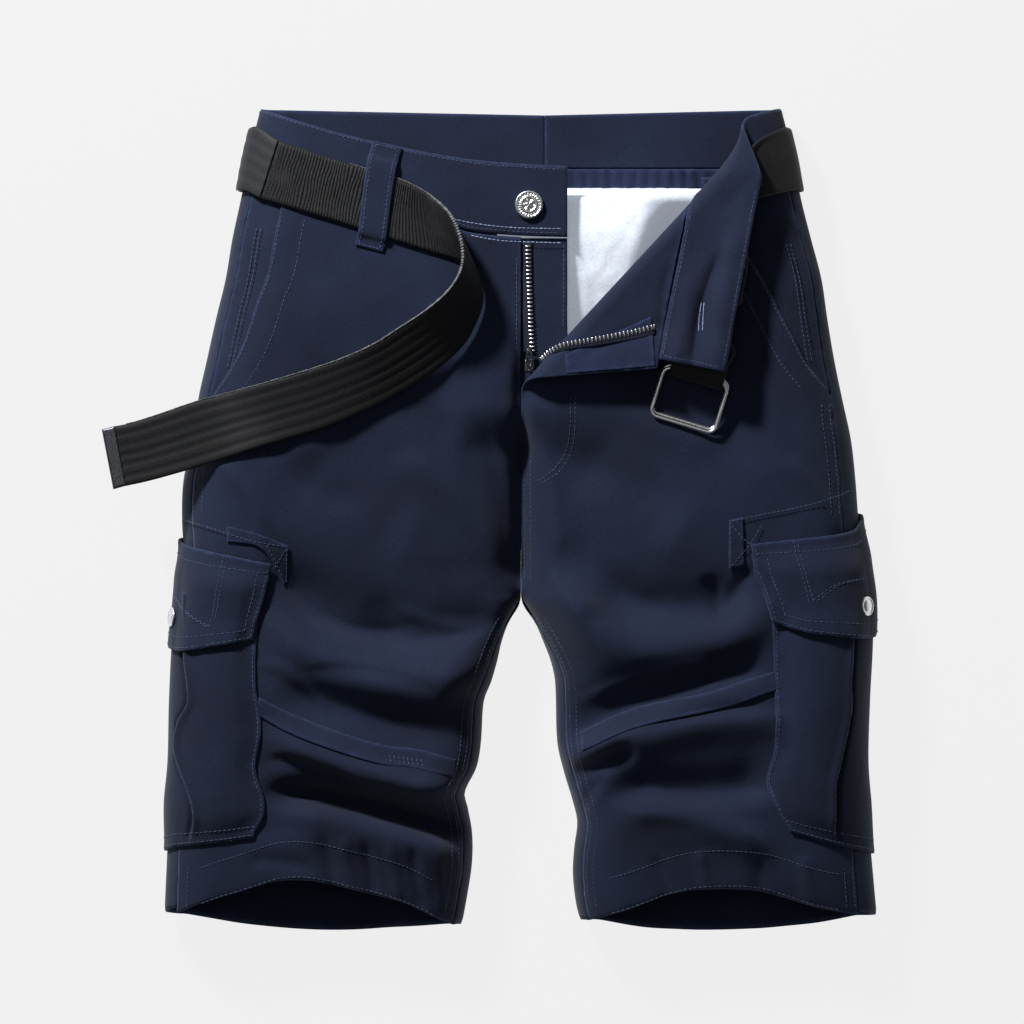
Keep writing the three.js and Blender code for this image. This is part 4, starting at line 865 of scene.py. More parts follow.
def puckers(grid, amount, reach, pitch, seed):
    """The gathered ripple that a sewn edge gets, across it and fading inwards."""
    across, along = arc(grid, 1), arc(grid, 0)
    total = np.zeros(across.shape)
    for far, run, turn in ((across, along, 0), (across[:, -1:] - across, along, 9),
                           (along, across, 18), (along[-1:] - along, across, 27)):
        ripple = noise(run, np.full_like(run, turn + 0.5), pitch, seed)
        total = total + amount * np.exp(-(far / reach) ** 2) * ripple
    return total


def grid_of(point, across, along):
    u, v = np.meshgrid(np.linspace(0, 1, across + 1), np.linspace(0, 1, along + 1))
    return u, v, point(u, v)


def settled(normals):
    """Gives a pinched corner the direction that its neighbours have."""
    wide = np.pad(normals, ((2, 2), (2, 2), (0, 0)), mode="edge")
    rows, columns = normals.shape[:2]
    around = unit(sum(wide[i:i + rows, k:k + columns] for i in range(5) for k in range(5)))
    astray = (normals * around).sum(axis=-1, keepdims=True) < 0.75
    return np.where(astray, around, normals)


def sew(name, point, across, along, low, high, material=None, probe=(0.5, 0.5, 1), pucker=0.3,
        reach=6, pitch=5, seed=1):
    """One sewn piece over point(u, v): its outer side looks up or down at the probed place."""
    across, along = count(across), count(along)
    u, v, grid = grid_of(point, across, along)
    normals = settled(grid_normals(grid))
    at = normals[round(probe[1] * along), round(probe[0] * across)]
    normals = normals * np.sign(at[2]) * probe[2]
    ripple = puckers(grid, pucker, reach, pitch, seed)
    low = (low(u, v) if callable(low) else low) + ripple
    high = (high(u, v) if callable(high) else high) + ripple
    made = close_shell(name, grid, normals, low, high, material or NAVY)
    solid = name.replace("cloth_", "")
    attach(made, "garment")
    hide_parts(solid)
    return made


def hem_fold(rows):
    """Thicker cloth where the hem is turned up, with a small step at its stitching."""
    def low(u, v):
        return -mix(CLOTH, HEM_CLOTH, step(1 - (HEM_DEPTH + 2) / rows, 1 - HEM_DEPTH / rows, v))
    return low


sew("cloth_front_left", front_panel(left, left_row, left.front), 130, 220, hem_fold(460), 0,
    reach=5, pitch=6, seed=31)
sew("cloth_front_right", front_panel(right, right_row, turned_over), 130, 231, hem_fold(520), 0,
    probe=(0.5, 0.6, 1), reach=5, pitch=6, seed=32)
sew("cloth_back_left", back_panel(left, hem_round(LEFT_HEM)), 92, 128, hem_fold(510), 0,
    probe=(0.5, 0.5, -1), pucker=0.15, seed=33)
sew("cloth_back_right", back_panel(right, hem_round(RIGHT_HEM)), 92, 128, hem_fold(510), 0,
    probe=(0.5, 0.5, -1), pucker=0.15, seed=34)
sew("cloth_waistband_left", waistband_left, 240, 24, -BAND_CLOTH, 0, probe=(0.8, 0.5, 1),
    pucker=0.2, pitch=8, seed=35)
sew("cloth_waistband_right", waistband_right, 240, 30, -BAND_CLOTH, 0, probe=(0.52, 0.2, 1),
    pucker=0.2, pitch=8, seed=36)
for half, side, low_y, high_y, columns in ((left, "left", 79, 219, 40), (right, "right", 86, 230, 60)):
    sew("cloth_hand_pocket_facing_" + side, facing(half, low_y, high_y), columns, 90,
        lambda u, v: facing_drop(u, v) - 1.2, facing_drop, pucker=0.2, seed=37)

for pocket in POCKETS:
    bag = wrap(pocket["half"], pocket["front"], pocket["head"], pocket["foot"])
    pocket["low"] = pleated(pocket["half"], bag, pocket["pleat"])
    sew("cloth_cargo_pocket_" + pocket["name"], bag, 180, 84, pocket["low"],
        lambda u, v, low=pocket["low"]: low(u, v) + POCKET_CLOTH, probe=(0.1, 0.5, 1), pucker=0.3,
        seed=38)
    flap = wrap(pocket["half"], pocket["flap_front"], pocket["flap_head"], pocket["flap_foot"])
    sew("cloth_cargo_flap_" + pocket["name"], flap, 126, 44, flap_low,
        lambda u, v: flap_low(u, v) + FLAP_CLOTH, probe=(0.1, 0.5, 1), pucker=0.35, reach=5,
        pitch=4.5, seed=39)


def tape_left_low(u, v):
    return mix(1.0, 0.1, step(0.45, 0.62, u))


def tape_right_low(u, v):
    return mix(0.3, 1.6, step(0.3, 0.55, u))


sew("cloth_knee_tape_left", strip(KNEE_TAPE_LEFT, on_body), 90, 10, tape_left_low,
    lambda u, v: tape_left_low(u, v) + mix(TAPE, 0.35, step(0.5, 0.66, u)), pucker=0.15,
    pitch=3.5, seed=40)
sew("cloth_knee_tape_right", strip(KNEE_TAPE_RIGHT, on_body), 90, 10, tape_right_low,
    lambda u, v: tape_right_low(u, v) + mix(0.5, TAPE, step(0.3, 0.55, u)), pucker=0.15,
    pitch=3.5, seed=41)
sew("cloth_reinforcement_left", strip(TAPE_LEFT, on_body), 40, 16, LAY_GAP, LAY_GAP + TAPE,
    pucker=0.2, seed=42)
sew("cloth_reinforcement_right", strip(TAPE_RIGHT, on_body), 12, 24, LAY_GAP, LAY_GAP + TAPE,
    pucker=0.2, seed=43)
sew("cloth_fly_underlap", lambda u, v: on_body(mix(12, FLY_X, u), mix(78, 189, v)), 24, 60,
    -UNDERLAP_SINK - 1.4, -UNDERLAP_SINK, pucker=0.2, seed=44)
sew("cloth_zip_tape_left", lambda u, v: on_body(mix(21, 27.5, u), mix(112, 187, v)), 6, 60,
    -UNDERLAP_SINK + 0.5, -UNDERLAP_SINK + 1.3, ZIP_TAPE, pucker=0.1, seed=45)


def flat_fly(inset, y):
    return turned_over(CENTRE_X + inset, y)


def fly_facing(u, v):
    return flat_fly(mix(1.5, mix(14, 35, v), u), mix(124, 183, v))


sew("cloth_fly_facing", fly_facing, 30, 50, -CLOTH - 1.0, -CLOTH - 0.3, NAVY_INSIDE,
    probe=(0.5, 0.5, -1), pucker=0.3, seed=46)


SLIDER_TOP = 50


def landing(names):
    """Gives the highest skin of some pieces above each place in x and y, or the slider's height."""
    graph = bpy.context.evaluated_depsgraph_get()
    trees = [BVHTree.FromObject(bpy.data.objects[name], graph) for name in names]

    def over(x, y):
        x, y = np.broadcast_arrays(np.asarray(x, float), np.asarray(y, float))
        z = np.full(x.size, 0.0)
        for k, (px, py) in enumerate(zip(x.ravel(), y.ravel())):
            start = Vector(((px + FRAME_SHIFT) * MM, py * MM, 0.2))
            hits = [tree.ray_cast(start, Vector((0, 0, -1)))[0] for tree in trees]
            z[k] = max([hit.z / MM for hit in hits if hit] or [SLIDER_TOP])
        return vec(x, y, z.reshape(x.shape))
    return over


# The right tape lies along the turned-down edge of the fly, from the slider outwards
TEETH_LINE = [(107.5, 128.5), (97, 125.5), (74, 121), (60, 118.5), (47, 116), (39, 112), (34, 107)]
teeth_line = curve(np.linspace(0, 1, len(TEETH_LINE)), TEETH_LINE)
fly_cloth = landing(["cloth_front_right", "cloth_fly_facing", "cloth_front_left"])
tape_share = np.linspace(0, 1, 41)
tape_line = teeth_line(tape_share)
tape_z = fly_cloth(tape_line[..., 0], tape_line[..., 1] - 2)[..., 2]
tape_z = np.convolve(np.pad(tape_z, 4, mode="edge"), np.ones(9) / 9, mode="valid")


def right_tape(u, v):
    place = teeth_line(v)
    drop = mix(6.5, 3.5, v)
    z = np.interp(v, tape_share, tape_z) + 0.5
    return vec(place[..., 0] + u * 0.25 * drop, place[..., 1] + 1.2 - u * drop, z)


sew("cloth_zip_tape_right", right_tape, 8, 60, 0.5, 1.3, ZIP_TAPE, pucker=0.1, seed=47)

loop_lift = curve([i / 6 for i in range(7)], [row[4] for row in LOOP_FRONT])
sew("cloth_belt_loop_front_left", strip([row[:4] for row in LOOP_FRONT], on_body), 80, 16,
    lambda u, v: loop_lift(u), lambda u, v: loop_lift(u) + 1.4, pucker=0.15, pitch=4, seed=48)
loop_z = by_rows(LOOP_SIDE)
for name, x in HIDDEN_LOOPS:
    sew("cloth_belt_loop_" + name,
        lambda u, v, x=x: vec(x + mix(-7, 7, u), mix(209, 273, v), loop_z(mix(209, 273, v))),
        8, 60, 0, 0.9, pucker=0.05, seed=49)
sew("cloth_waist_binding", binding, 320, 10, 0, 0.9, NAVY_INSIDE, pucker=0.35, pitch=3, seed=50)
sew("cloth_pocketing_white", pocketing, 70, 64, 0, 1, POPLIN, pucker=0.2, seed=51)

# Belt: under the lapel, over the right waistband, round the back, over the left front, then
# a turn on its edge and back to the left. A row is a line across the strap.
BELT_ROWS = [
    (-64, 229, 0, -77, 191, 0), (-52, 224, 1, -55, 184, 0), (-42, 218, 3, -36, 178, 0),
    (-33, 210, 12, -22, 174, 0.3), (-27, 203, 19, -13, 169, 0.6), (-21, 190, 28, -8, 162, 1),
    (-18.5, 175, 33, -6, 154, 1), (-21, 163, 34, -6, 144, 1), (-29, 151, 31, -11, 130, 1),
    (-42, 140, 25, -21, 114, 1), (-62, 127, 18, -43, 96, 1.5), (-88, 112, 12, -75, 77.5, 2),
    (-128, 98, 7, -113, 61, 2), (-163, 88, 4, -150, 50, 2), (-197, 79, 3.5, -184, 39, 3),
    (-232, 67, 4, -221, 28, 3), (-251.5, 62.5, 4, -244, 22.7, 3),
]
BELT_FRONT_ROWS = [(-142, 254, -154, 216), (-116, 245, -127, 207), (-90, 237, -101, 199)]
TAIL_Z = 47
BELT_LAY = 2.2
BAND_LAY = 3.9
BAR = (137.2, 97)
RING_DOWN = (-0.292, -0.956)
LOOP_RADIUS = 4.9
BAR_Z = 54.1
RIB_PITCH = 2.1
RIB_DEPTH = 1.0
COLUMNS = 27


def by_bar(along, across, z):
    return vec(BAR[0] + RING_DOWN[0] * along - RING_DOWN[1] * across,
               BAR[1] + RING_DOWN[1] * along + RING_DOWN[0] * across, BAR_Z + z)


share = np.linspace(0, 1, COLUMNS)
near_bar = (0.5 - share) * (BELT_WIDTH - 5)
belt_y = BELT_Y + (share - 0.5) * BELT_WIDTH
rows = [by_bar(along, near_bar, -LOOP_RADIUS) for along in (-24, -12, 0)]
for angle in (36, 72, 108, 144):
    a = math.radians(angle)
    rows.append(by_bar(LOOP_RADIUS * math.sin(a), near_bar, -LOOP_RADIUS * math.cos(a)))
rows += [by_bar(along, near_bar, LOOP_RADIUS) for along in (0, -12, -24)]
for s in range(140, 19, -6):
    w = mix(-13, 4, step(40, 120, s)) + share * BELT_WIDTH
    along_band = band_right(s + 0.05, w) - band_right(s - 0.05, w)
    across_band = band_right(s, w + 0.05) - band_right(s, w - 0.05)
    rows.append(band_right(s, w) + unit(np.cross(across_band, along_band)) * BAND_LAY)


def side_row(half, p, lay):
    ahead = half.skin(p - half.side * 0.05, BELT_Y) - half.skin(p + half.side * 0.05, BELT_Y)
    up = half.skin(p, BELT_Y + 0.05) - half.skin(p, BELT_Y - 0.05)
    return half.skin(p, belt_y) + unit(np.cross(ahead, up)) * lay


for p in (20, 11, 3, -4, -11, -18):
    rows.append(side_row(right, p, 2.8 if p > 10 else BELT_LAY))
for x in range(160, -121, -40):
    rows.append(vec(x, belt_y, BELT_LIFT - BELT_LAY))
for p in (-18, -11, -4, 3, 11, 20):
    rows.append(side_row(left, p, 2.6 if p > 5 else BELT_LAY))
tab_row = len(rows) - 3
front_keys = [i / (len(BELT_FRONT_ROWS) - 1) for i in range(len(BELT_FRONT_ROWS))]
front_row = [curve(front_keys, [row[c] for row in BELT_FRONT_ROWS]) for c in range(4)]
for k in range(6):
    ax, ay, bx, by = (f(k / 5) for f in front_row)
    place = on_body(mix(bx, ax, share), mix(by, ay, share))
    rows.append(place + (0, 0, BELT_LAY))
rib_row = len(rows) - 6
turn_row = len(rows)
turn_keys = [i / (len(BELT_ROWS) - 1) for i in range(len(BELT_ROWS))]
turn = [curve(turn_keys, [row[c] for row in BELT_ROWS]) for c in range(6)]


def belt_base(x, y):
    return mix(TAIL_Z, body_top(x, y), step(-190, -150, x))


for k in range(25):
    ax, ay, az, bx, by, bz = (f(k / 24) for f in turn)
    z = BELT_LAY + mix(belt_base(bx, by) + bz, belt_base(ax, ay) + az, share)
    rows.append(vec(mix(bx, ax, share), mix(by, ay, share), z))

belt_lines = np.asarray(rows)
middle_line = belt_lines[:, COLUMNS // 2]
row_at = np.concatenate([[0], np.cumsum(np.linalg.norm(np.diff(middle_line, axis=0), axis=1))])
belt_form = curve(row_at, belt_lines)
rib_start, rib_end = row_at[rib_row], row_at[turn_row + 12]
tail_start = row_at[turn_row + 6]
fine = RIB_PITCH / 5
stops = np.concatenate([
    np.arange(0, row_at[tab_row], 2.5), np.arange(row_at[tab_row], rib_start, 1.2),
    np.arange(rib_start, rib_end, fine), np.arange(rib_end, row_at[-1], 1.4), [row_at[-1]]])
belt_grid = belt_form(stops)
belt_normals = grid_normals(belt_grid)
tab_side = 1 if belt_normals[np.searchsorted(stops, row_at[tab_row + 3]), 4, 2] > 0 else -1
along_belt = np.broadcast_to(stops[:, None], belt_grid.shape[:2])
across_belt = np.broadcast_to(share[None], belt_grid.shape[:2])


def belt_ribs(s, w):
    """Cross ribs of the upper face: they lean a little, wander, and stop short of the edges."""
    lean = 2.6 * (w - 0.5) + 1.1 * noise(s, w * 30, 9, 61)
    rib = np.abs(np.sin(np.pi * (s + lean) / RIB_PITCH)) - 0.5
    fade = step(rib_start, rib_start + 3, s) * step(rib_end, rib_end - 30, s)
    return RIB_DEPTH * rib * fade * step(0, 0.06, w) * step(1, 0.94, w)


def belt_grooves(s, w):
    """Lengthwise channels of the lower face, which the tail shows."""
    fade = step(tail_start - 20, tail_start + 40, s)
    groove = sum(np.exp(-((w - at) / 0.022) ** 2) for at in (0.16, 0.34, 0.5, 0.67, 0.84))
    return -0.55 * groove * fade


ribbed = WEBBING / 2 + belt_ribs(along_belt, across_belt)
grooved = WEBBING / 2 + belt_grooves(along_belt, across_belt)
high, low = (ribbed, -grooved) if tab_side > 0 else (grooved, -ribbed)
belt = close_shell("ribbed_belt", belt_grid, belt_normals, low, high, RIBBED_WEBBING)
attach(belt, "garment")
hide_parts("belt")

tab_stops = np.linspace(row_at[tab_row], row_at[tab_row + 3], count(60))
tab_grid = belt_form(tab_stops)
tab_normals = grid_normals(tab_grid) * tab_side
ridges = 0.3 * np.abs(np.sin(np.pi * 5 * share))[None] * np.ones((len(tab_stops), 1))
tab = close_shell("belt_end_tab", tab_grid, tab_normals, WEBBING / 2 + 0.4,
                  WEBBING / 2 + 1.2 + ridges, PRESSED_END)
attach(tab, "garment")
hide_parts("belt_tab")


def merged(parts):
    """Joins lists of points and quads into one."""
    points, faces, start = [], [], 0
    for p, f in parts:
        points.append(np.asarray(p, float))
        faces.append(np.asarray(f) + start)
        start += len(p)
    return np.concatenate(points), np.concatenate(faces)


def loops_to_quads(loops, closed_along=False, caps=True):
    """Quads over a stack of closed loops of points, with a small fan of quads at each end."""
    loops = np.asarray(loops, float)
    n, m = loops.shape[:2]
    i = np.arange(m)
    quads = []
    for j in range(n if closed_along else n - 1):
        a, b = j * m, (j + 1) % n * m
        quads.append(np.stack([a + i, a + (i + 1) % m, b + (i + 1) % m, b + i], -1))
    points = loops.reshape(-1, 3)
    if caps and not closed_along:
        for j, flip in ((0, True), (n - 1, False)):
            pair = np.arange(1, m // 2)
            near, far = j * m + pair, j * m + (m - pair) % m
            quad = np.stack([near - 1, near, far, (far + 1 - j * m) % m + j * m], -1)
            quads.append(quad[:, ::-1] if flip else quad)
    return points, np.concatenate(quads)


def superloop(a, b, power, steps):
    """A rounded rectangle of half sizes a and b."""
    t = np.linspace(0, 2 * math.pi, steps, endpoint=False)
    c, s = np.cos(t), np.sin(t)
    return np.stack([a * np.sign(c) * np.abs(c) ** (2 / power),
                     b * np.sign(s) * np.abs(s) ** (2 / power)], -1)


def pressed_plate(centre, wide, long, high, power=6, steps=40, lip=0.3):
    """A plate with rounded corners and softened edges."""
    loops = []
    for inset, z in ((lip * 1.6, 0), (lip * 0.4, lip * 0.4), (0, lip), (0, high - lip),
                     (lip * 0.4, high - lip * 0.4), (lip * 1.6, high)):
        ring = superloop(wide / 2 - inset, long / 2 - inset, power, steps)
        loops.append(vec(centre[0] + ring[:, 0], centre[1] + ring[:, 1], centre[2] + z))
    return loops_to_quads(loops)


def fitting(name, parts, material, body, slot, *nodes):
    """A hard piece made of closed shapes."""
    points, faces = merged(parts)
    made = make_object(name, points, faces, material)
    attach(made, body)
    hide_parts(*nodes)
    return made


def wire_ring(level):
    """A rounded ring of wire that hangs on the strap's loop."""
    wide, long, wire, bend, droop = 47, 36, 2.6, 5, 0.1
    loops = []
    b = np.linspace(0, 2 * math.pi, 24, endpoint=False)
    for corner in range(4):
        for k in range(13):
            a = (corner + k / 12) * math.pi / 2
            cx = (wide / 2 - wire / 2 - bend) * (1 if corner in (0, 3) else -1)
            cy = (long / 2 - wire / 2 - bend) * (1 if corner < 2 else -1)
            r = bend + np.cos(b) * wire / 2
            along = cy + r * math.sin(a) + long / 2 - wire / 2 + level * 0.9
            z = np.sin(b) * wire / 2 + level * 1.45
            c, s = math.cos(droop), math.sin(droop)
            loops.append(by_bar(along * c + z * s, cx + r * math.cos(a), z * c - along * s))
    return loops_to_quads(loops, closed_along=True)


fitting("buckle_ring_lower", [wire_ring(-1)], NICKEL, "ring_lower_body", "bright_steel", "ring_lower")
fitting("buckle_ring_upper", [wire_ring(1)], NICKEL, "ring_upper_body", "bright_steel", "ring_upper")


def tip_shell(u, v):
    x = mix(mix(-243.0, -252, u), mix(-250.5, -259.6, u), v)
    y = mix(mix(23.0, 20.5, u), mix(62.8, 60.5, u), v)
    return vec(x, y, TAIL_Z + BELT_LAY + mix(3, 4, v))


_, _, tip_grid = grid_of(tip_shell, 24, 60)
tip_normals = grid_normals(tip_grid)
tip_normals = tip_normals * np.sign(tip_normals[30, 12, 2])
tip_u = np.broadcast_to(np.linspace(0, 1, 25)[None], tip_grid.shape[:2])
tip_v = np.broadcast_to(np.linspace(0, 1, 61)[:, None], tip_grid.shape[:2])
crown = 1.6 - 0.5 * (1 - step(0, 0.12, tip_u)) - 0.8 * step(0.9, 1, tip_u)
crown = crown - 0.5 * (1 - step(0, 0.03, tip_v)) - 0.5 * step(0.97, 1, tip_v)
tip = close_shell("belt_tip_cap", tip_grid, tip_normals, -crown, crown, GUNMETAL)
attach(tip, "garment")
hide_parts("belt_tip")


def turned_disc(centre, axis, profile, relief=None, segments=96):
    """A round fastening from its profile (radius, height), with an even relief on its face."""
    axis = unit(np.asarray(axis, float))
    side = unit(np.cross(axis, (0.0, 1.0, 0.0)))
    other = np.cross(axis, side)
    t = np.linspace(0, 2 * math.pi, segments, endpoint=False)
    loops = []
    for radius, height in profile:
        h = height + (relief(radius, t) if relief else 0 * t)
        ring = side * (radius * np.cos(t))[:, None] + other * (radius * np.sin(t))[:, None]
        loops.append(np.asarray(centre) + ring + axis * h[:, None])
    return loops_to_quads(loops)


def button_relief(radius, t):
    """A beaded border round a plain five-rayed centre."""
    rope = 0.28 * np.sin(24 * t + radius) * math.exp(-((radius - 7.0) / 0.9) ** 2)
    rays = 0.45 * np.cos(5 * t) * math.exp(-((radius - 2.6) / 1.5) ** 2)
    return rope + rays


BUTTON_PROFILE = [(8.9, 0), (9.5, 0.3), (9.6, 1.2), (9.4, 2.2), (9.0, 2.9), (8.5, 3.2), (8.1, 3.1),
                  (7.8, 2.7), (7.4, 2.7), (7.0, 2.8), (6.6, 2.7), (6.2, 2.7), (5.8, 2.9), (5.5, 3.4),
                  (5.1, 3.6), (4.7, 3.5), (4.3, 3.1), (3.8, 3.0), (3.2, 3.0), (2.6, 3.1), (2.0, 3.2),
                  (1.4, 3.3), (0.8, 3.4), (0.25, 3.4)]
SNAP_PROFILE = [(6.1, 0), (6.5, 0.3), (6.5, 0.9), (6.2, 1.3), (5.7, 1.5), (5.3, 1.4), (5.0, 1.15),
                (4.4, 1.15), (4.0, 1.4), (3.2, 1.75), (2.2, 1.95), (1.2, 2.0), (0.3, 2.0)]


def on_surface(point, u, v, lift, eps=0.05):
    at = point(u, v)
    axis = unit(np.cross(point(u + eps, v) - at, point(u, v + eps) - at))
    return at + axis * lift, axis


BUTTON_AT = (25.2, 211)
SNAP_LEFT_AT = (12, -66)
SNAP_RIGHT_AT = (24, -58)
SNAP_LIFT = 6.9
centre, axis = on_surface(on_body, *BUTTON_AT, 0.5)
fitting("waist_shank_button", [turned_disc(centre, axis, BUTTON_PROFILE, button_relief)], NICKEL,
        "garment", "bright_steel", "waist_button")
centre, axis = on_surface(left.skin, *SNAP_LEFT_AT, SNAP_LIFT)
fitting("flap_snap_left", [turned_disc(centre, axis, SNAP_PROFILE)], NICKEL, "garment",
        "bright_steel", "snap_left")
centre, axis = on_surface(lambda p, y: right.skin(-p, y), -SNAP_RIGHT_AT[0], SNAP_RIGHT_AT[1], SNAP_LIFT)
fitting("flap_snap_right", [turned_disc(centre, axis, SNAP_PROFILE)], NICKEL, "garment",
        "bright_steel", "snap_right")

# Slider: two plates joined by a neck, with a bridge that the pull tab's eye goes round
low_corner, high_corner = (np.asarray(c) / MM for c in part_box("slider"))
slide = (low_corner + high_corner) / 2 - (FRAME_SHIFT, 0, 0)
base_z = low_corner[2]
fitting("zip_slider", [
    pressed_plate((slide[0], slide[1], base_z), 7, 9, 0.8),
    pressed_plate((slide[0], slide[1] + 2.6, base_z + 0.7), 2.2, 2.4, 1.0, 3, 20, 0.2),
    pressed_plate((slide[0], slide[1], base_z + 1.6), 6.6, 8.6, 0.8),
    pressed_plate((slide[0], slide[1] + 2.9, base_z + 2.2), 1.5, 1.2, 0.5, 4, 20, 0.15),
    pressed_plate((slide[0], slide[1] - 2.9, base_z + 2.2), 1.5, 1.2, 0.5, 4, 20, 0.15),
], GUNMETAL, "garment", "dark_steel", "slider")


low_corner, high_corner = (np.asarray(c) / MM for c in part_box("pull_tab"))
tab_middle = (low_corner + high_corner) / 2 - (FRAME_SHIFT, 0, 0)
outer_ring = superloop(2.3, 6.5, 3.2, 48)
hole_ring = superloop(1.1, 3.4, 3.0, 48) + (0, -1.4)
loops = []
for ring, z in ((hole_ring, 0.15), (hole_ring * 1.08, 0.0), (outer_ring * 0.96, 0.0),
                (outer_ring, 0.2), (outer_ring, 0.8), (outer_ring * 0.96, 1.0),
                (hole_ring * 1.08, 1.0), (hole_ring, 0.85)):
    loops.append(vec(tab_middle[0] + ring[:, 0], tab_middle[1] + ring[:, 1], low_corner[2] + z))
fitting("zip_pull_tab", [loops_to_quads(loops, closed_along=True)], GUNMETAL, "pull_tab_body",
        "dark_steel", "pull_tab")


def copies_tree():
    """A tree that sets one form at every point, turned along the cloth and out of it."""
    tree = bpy.data.node_groups.new("sewn_copies", "GeometryNodeTree")
    face = tree.interface
    face.new_socket("Places", in_out="INPUT", socket_type="NodeSocketGeometry")
    face.new_socket("Form", in_out="INPUT", socket_type="NodeSocketObject")
    face.new_socket("Size", in_out="INPUT", socket_type="NodeSocketVector")
    face.new_socket("Uneven", in_out="INPUT", socket_type="NodeSocketFloat")
    face.new_socket("Seed", in_out="INPUT", socket_type="NodeSocketInt")
    face.new_socket("Finish", in_out="INPUT", socket_type="NodeSocketMaterial")
    face.new_socket("Made", in_out="OUTPUT", socket_type="NodeSocketGeometry")
    given = node(tree, "NodeGroupInput")
    along = node(tree, "GeometryNodeInputNamedAttribute", {"Name": "along"}, data_type="FLOAT_VECTOR")
    out = node(tree, "GeometryNodeInputNamedAttribute", {"Name": "out"}, data_type="FLOAT_VECTOR")
    turned = node(tree, "FunctionNodeAxesToRotation", {
        "Primary Axis": along.outputs[0], "Secondary Axis": out.outputs[0]},
        primary_axis="X", secondary_axis="Z")
    less = node(tree, "ShaderNodeMath", {0: 1.0, 1: given.outputs["Uneven"]}, operation="SUBTRACT")
    more = node(tree, "ShaderNodeMath", {0: 1.0, 1: given.outputs["Uneven"]}, operation="ADD")
    chance = node(tree, "FunctionNodeRandomValue", {
        2: less.outputs[0], 3: more.outputs[0], "Seed": given.outputs["Seed"]}, data_type="FLOAT")
    size = node(tree, "ShaderNodeVectorMath", {0: given.outputs["Size"], "Scale": chance.outputs[1]},
                operation="SCALE")
    form = node(tree, "GeometryNodeObjectInfo", {"Object": given.outputs["Form"]})
    spread_out = node(tree, "GeometryNodeInstanceOnPoints", {
        "Points": given.outputs["Places"], "Instance": form.outputs["Geometry"],
        "Rotation": turned.outputs[0], "Scale": size.outputs[0]})
    real = node(tree, "GeometryNodeRealizeInstances", {"Geometry": spread_out.outputs[0]})
    finished = node(tree, "GeometryNodeSetMaterial", {
        "Geometry": real.outputs[0], "Material": given.outputs["Finish"]})
    node(tree, "NodeGroupOutput", {"Made": finished.outputs[0]})
    return tree


COPIES = copies_tree()


def form_object(name, points, faces):
    mesh = bpy.data.meshes.new(name)
    mesh.from_pydata(np.asarray(points).tolist(), [], [list(map(int, f)) for f in faces])
    mesh.shade_smooth()
    made = bpy.data.objects.new(name, mesh)
    bpy.context.scene.collection.objects.link(made)
    return made


def stitch_form():
    """One stitch: a lozenge of thread one unit long, wide and high, with its ends pulled in."""
    loops = []
    for x, r in ((-0.5, 0.12), (-0.38, 0.36), (-0.12, 0.5), (0.12, 0.5), (0.38, 0.36), (0.5, 0.12)):
        t = np.linspace(0, 2 * math.pi, 6, endpoint=False)
        loops.append(np.stack([np.full(6, x), r * np.cos(t), r * np.sin(t) + 0.25 * (1 - 4 * x * x)], -1))
    return loops_to_quads(loops)


def tooth_form():
    """One zip tooth: a squared bar with a bump where it locks."""
    loops = []
    for y, a, b in ((-0.5, 0.28, 0.3), (-0.4, 0.42, 0.45), (0.1, 0.42, 0.5), (0.3, 0.3, 0.42),
                    (0.42, 0.34, 0.36), (0.5, 0.2, 0.2)):
        ring = superloop(a, b, 4, 8)
        loops.append(np.stack([ring[:, 0], np.full(8, y), ring[:, 1]], -1))
    return loops_to_quads(loops)


def set_copies(name, places, along, out, form, size, uneven, seed, material, body, slot):
    """Turns points with their two directions into one mesh of copies of a form."""
    mesh = bpy.data.meshes.new(name + "_places")
    points = (np.asarray(places) + (FRAME_SHIFT, 0, 0)) * MM
    mesh.from_pydata(points.tolist(), [], [])
    for key, values in (("along", along), ("out", out)):
        kept = mesh.attributes.new(key, "FLOAT_VECTOR", "POINT")
        kept.data.foreach_set("vector", np.asarray(values, float).ravel())
    holder = bpy.data.objects.new(name + "_places", mesh)
    bpy.context.scene.collection.objects.link(holder)
    shape = form_object(name + "_form", *form())
    modifier = holder.modifiers.new("copies", "NODES")
    modifier.node_group = COPIES
    keys = {item.name: item.identifier for item in COPIES.interface.items_tree
            if item.item_type == "SOCKET" and item.in_out == "INPUT"}
    modifier[keys["Form"]] = shape
    modifier[keys["Size"]] = [s * MM for s in size]
    modifier[keys["Uneven"]] = uneven
    modifier[keys["Seed"]] = seed
    modifier[keys["Finish"]] = material
    graph = bpy.context.evaluated_depsgraph_get()
    made_mesh = bpy.data.meshes.new_from_object(holder.evaluated_get(graph), depsgraph=graph)
    made_mesh.name = name
    if not made_mesh.materials:
        made_mesh.materials.append(material)
    made_mesh.shade_smooth()
    made = bpy.data.objects.new(name, made_mesh)
    bpy.context.scene.collection.objects.link(made)
    for gone in (holder, shape):
        bpy.data.objects.remove(gone, do_unlink=True)
    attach(made, body)
    return made


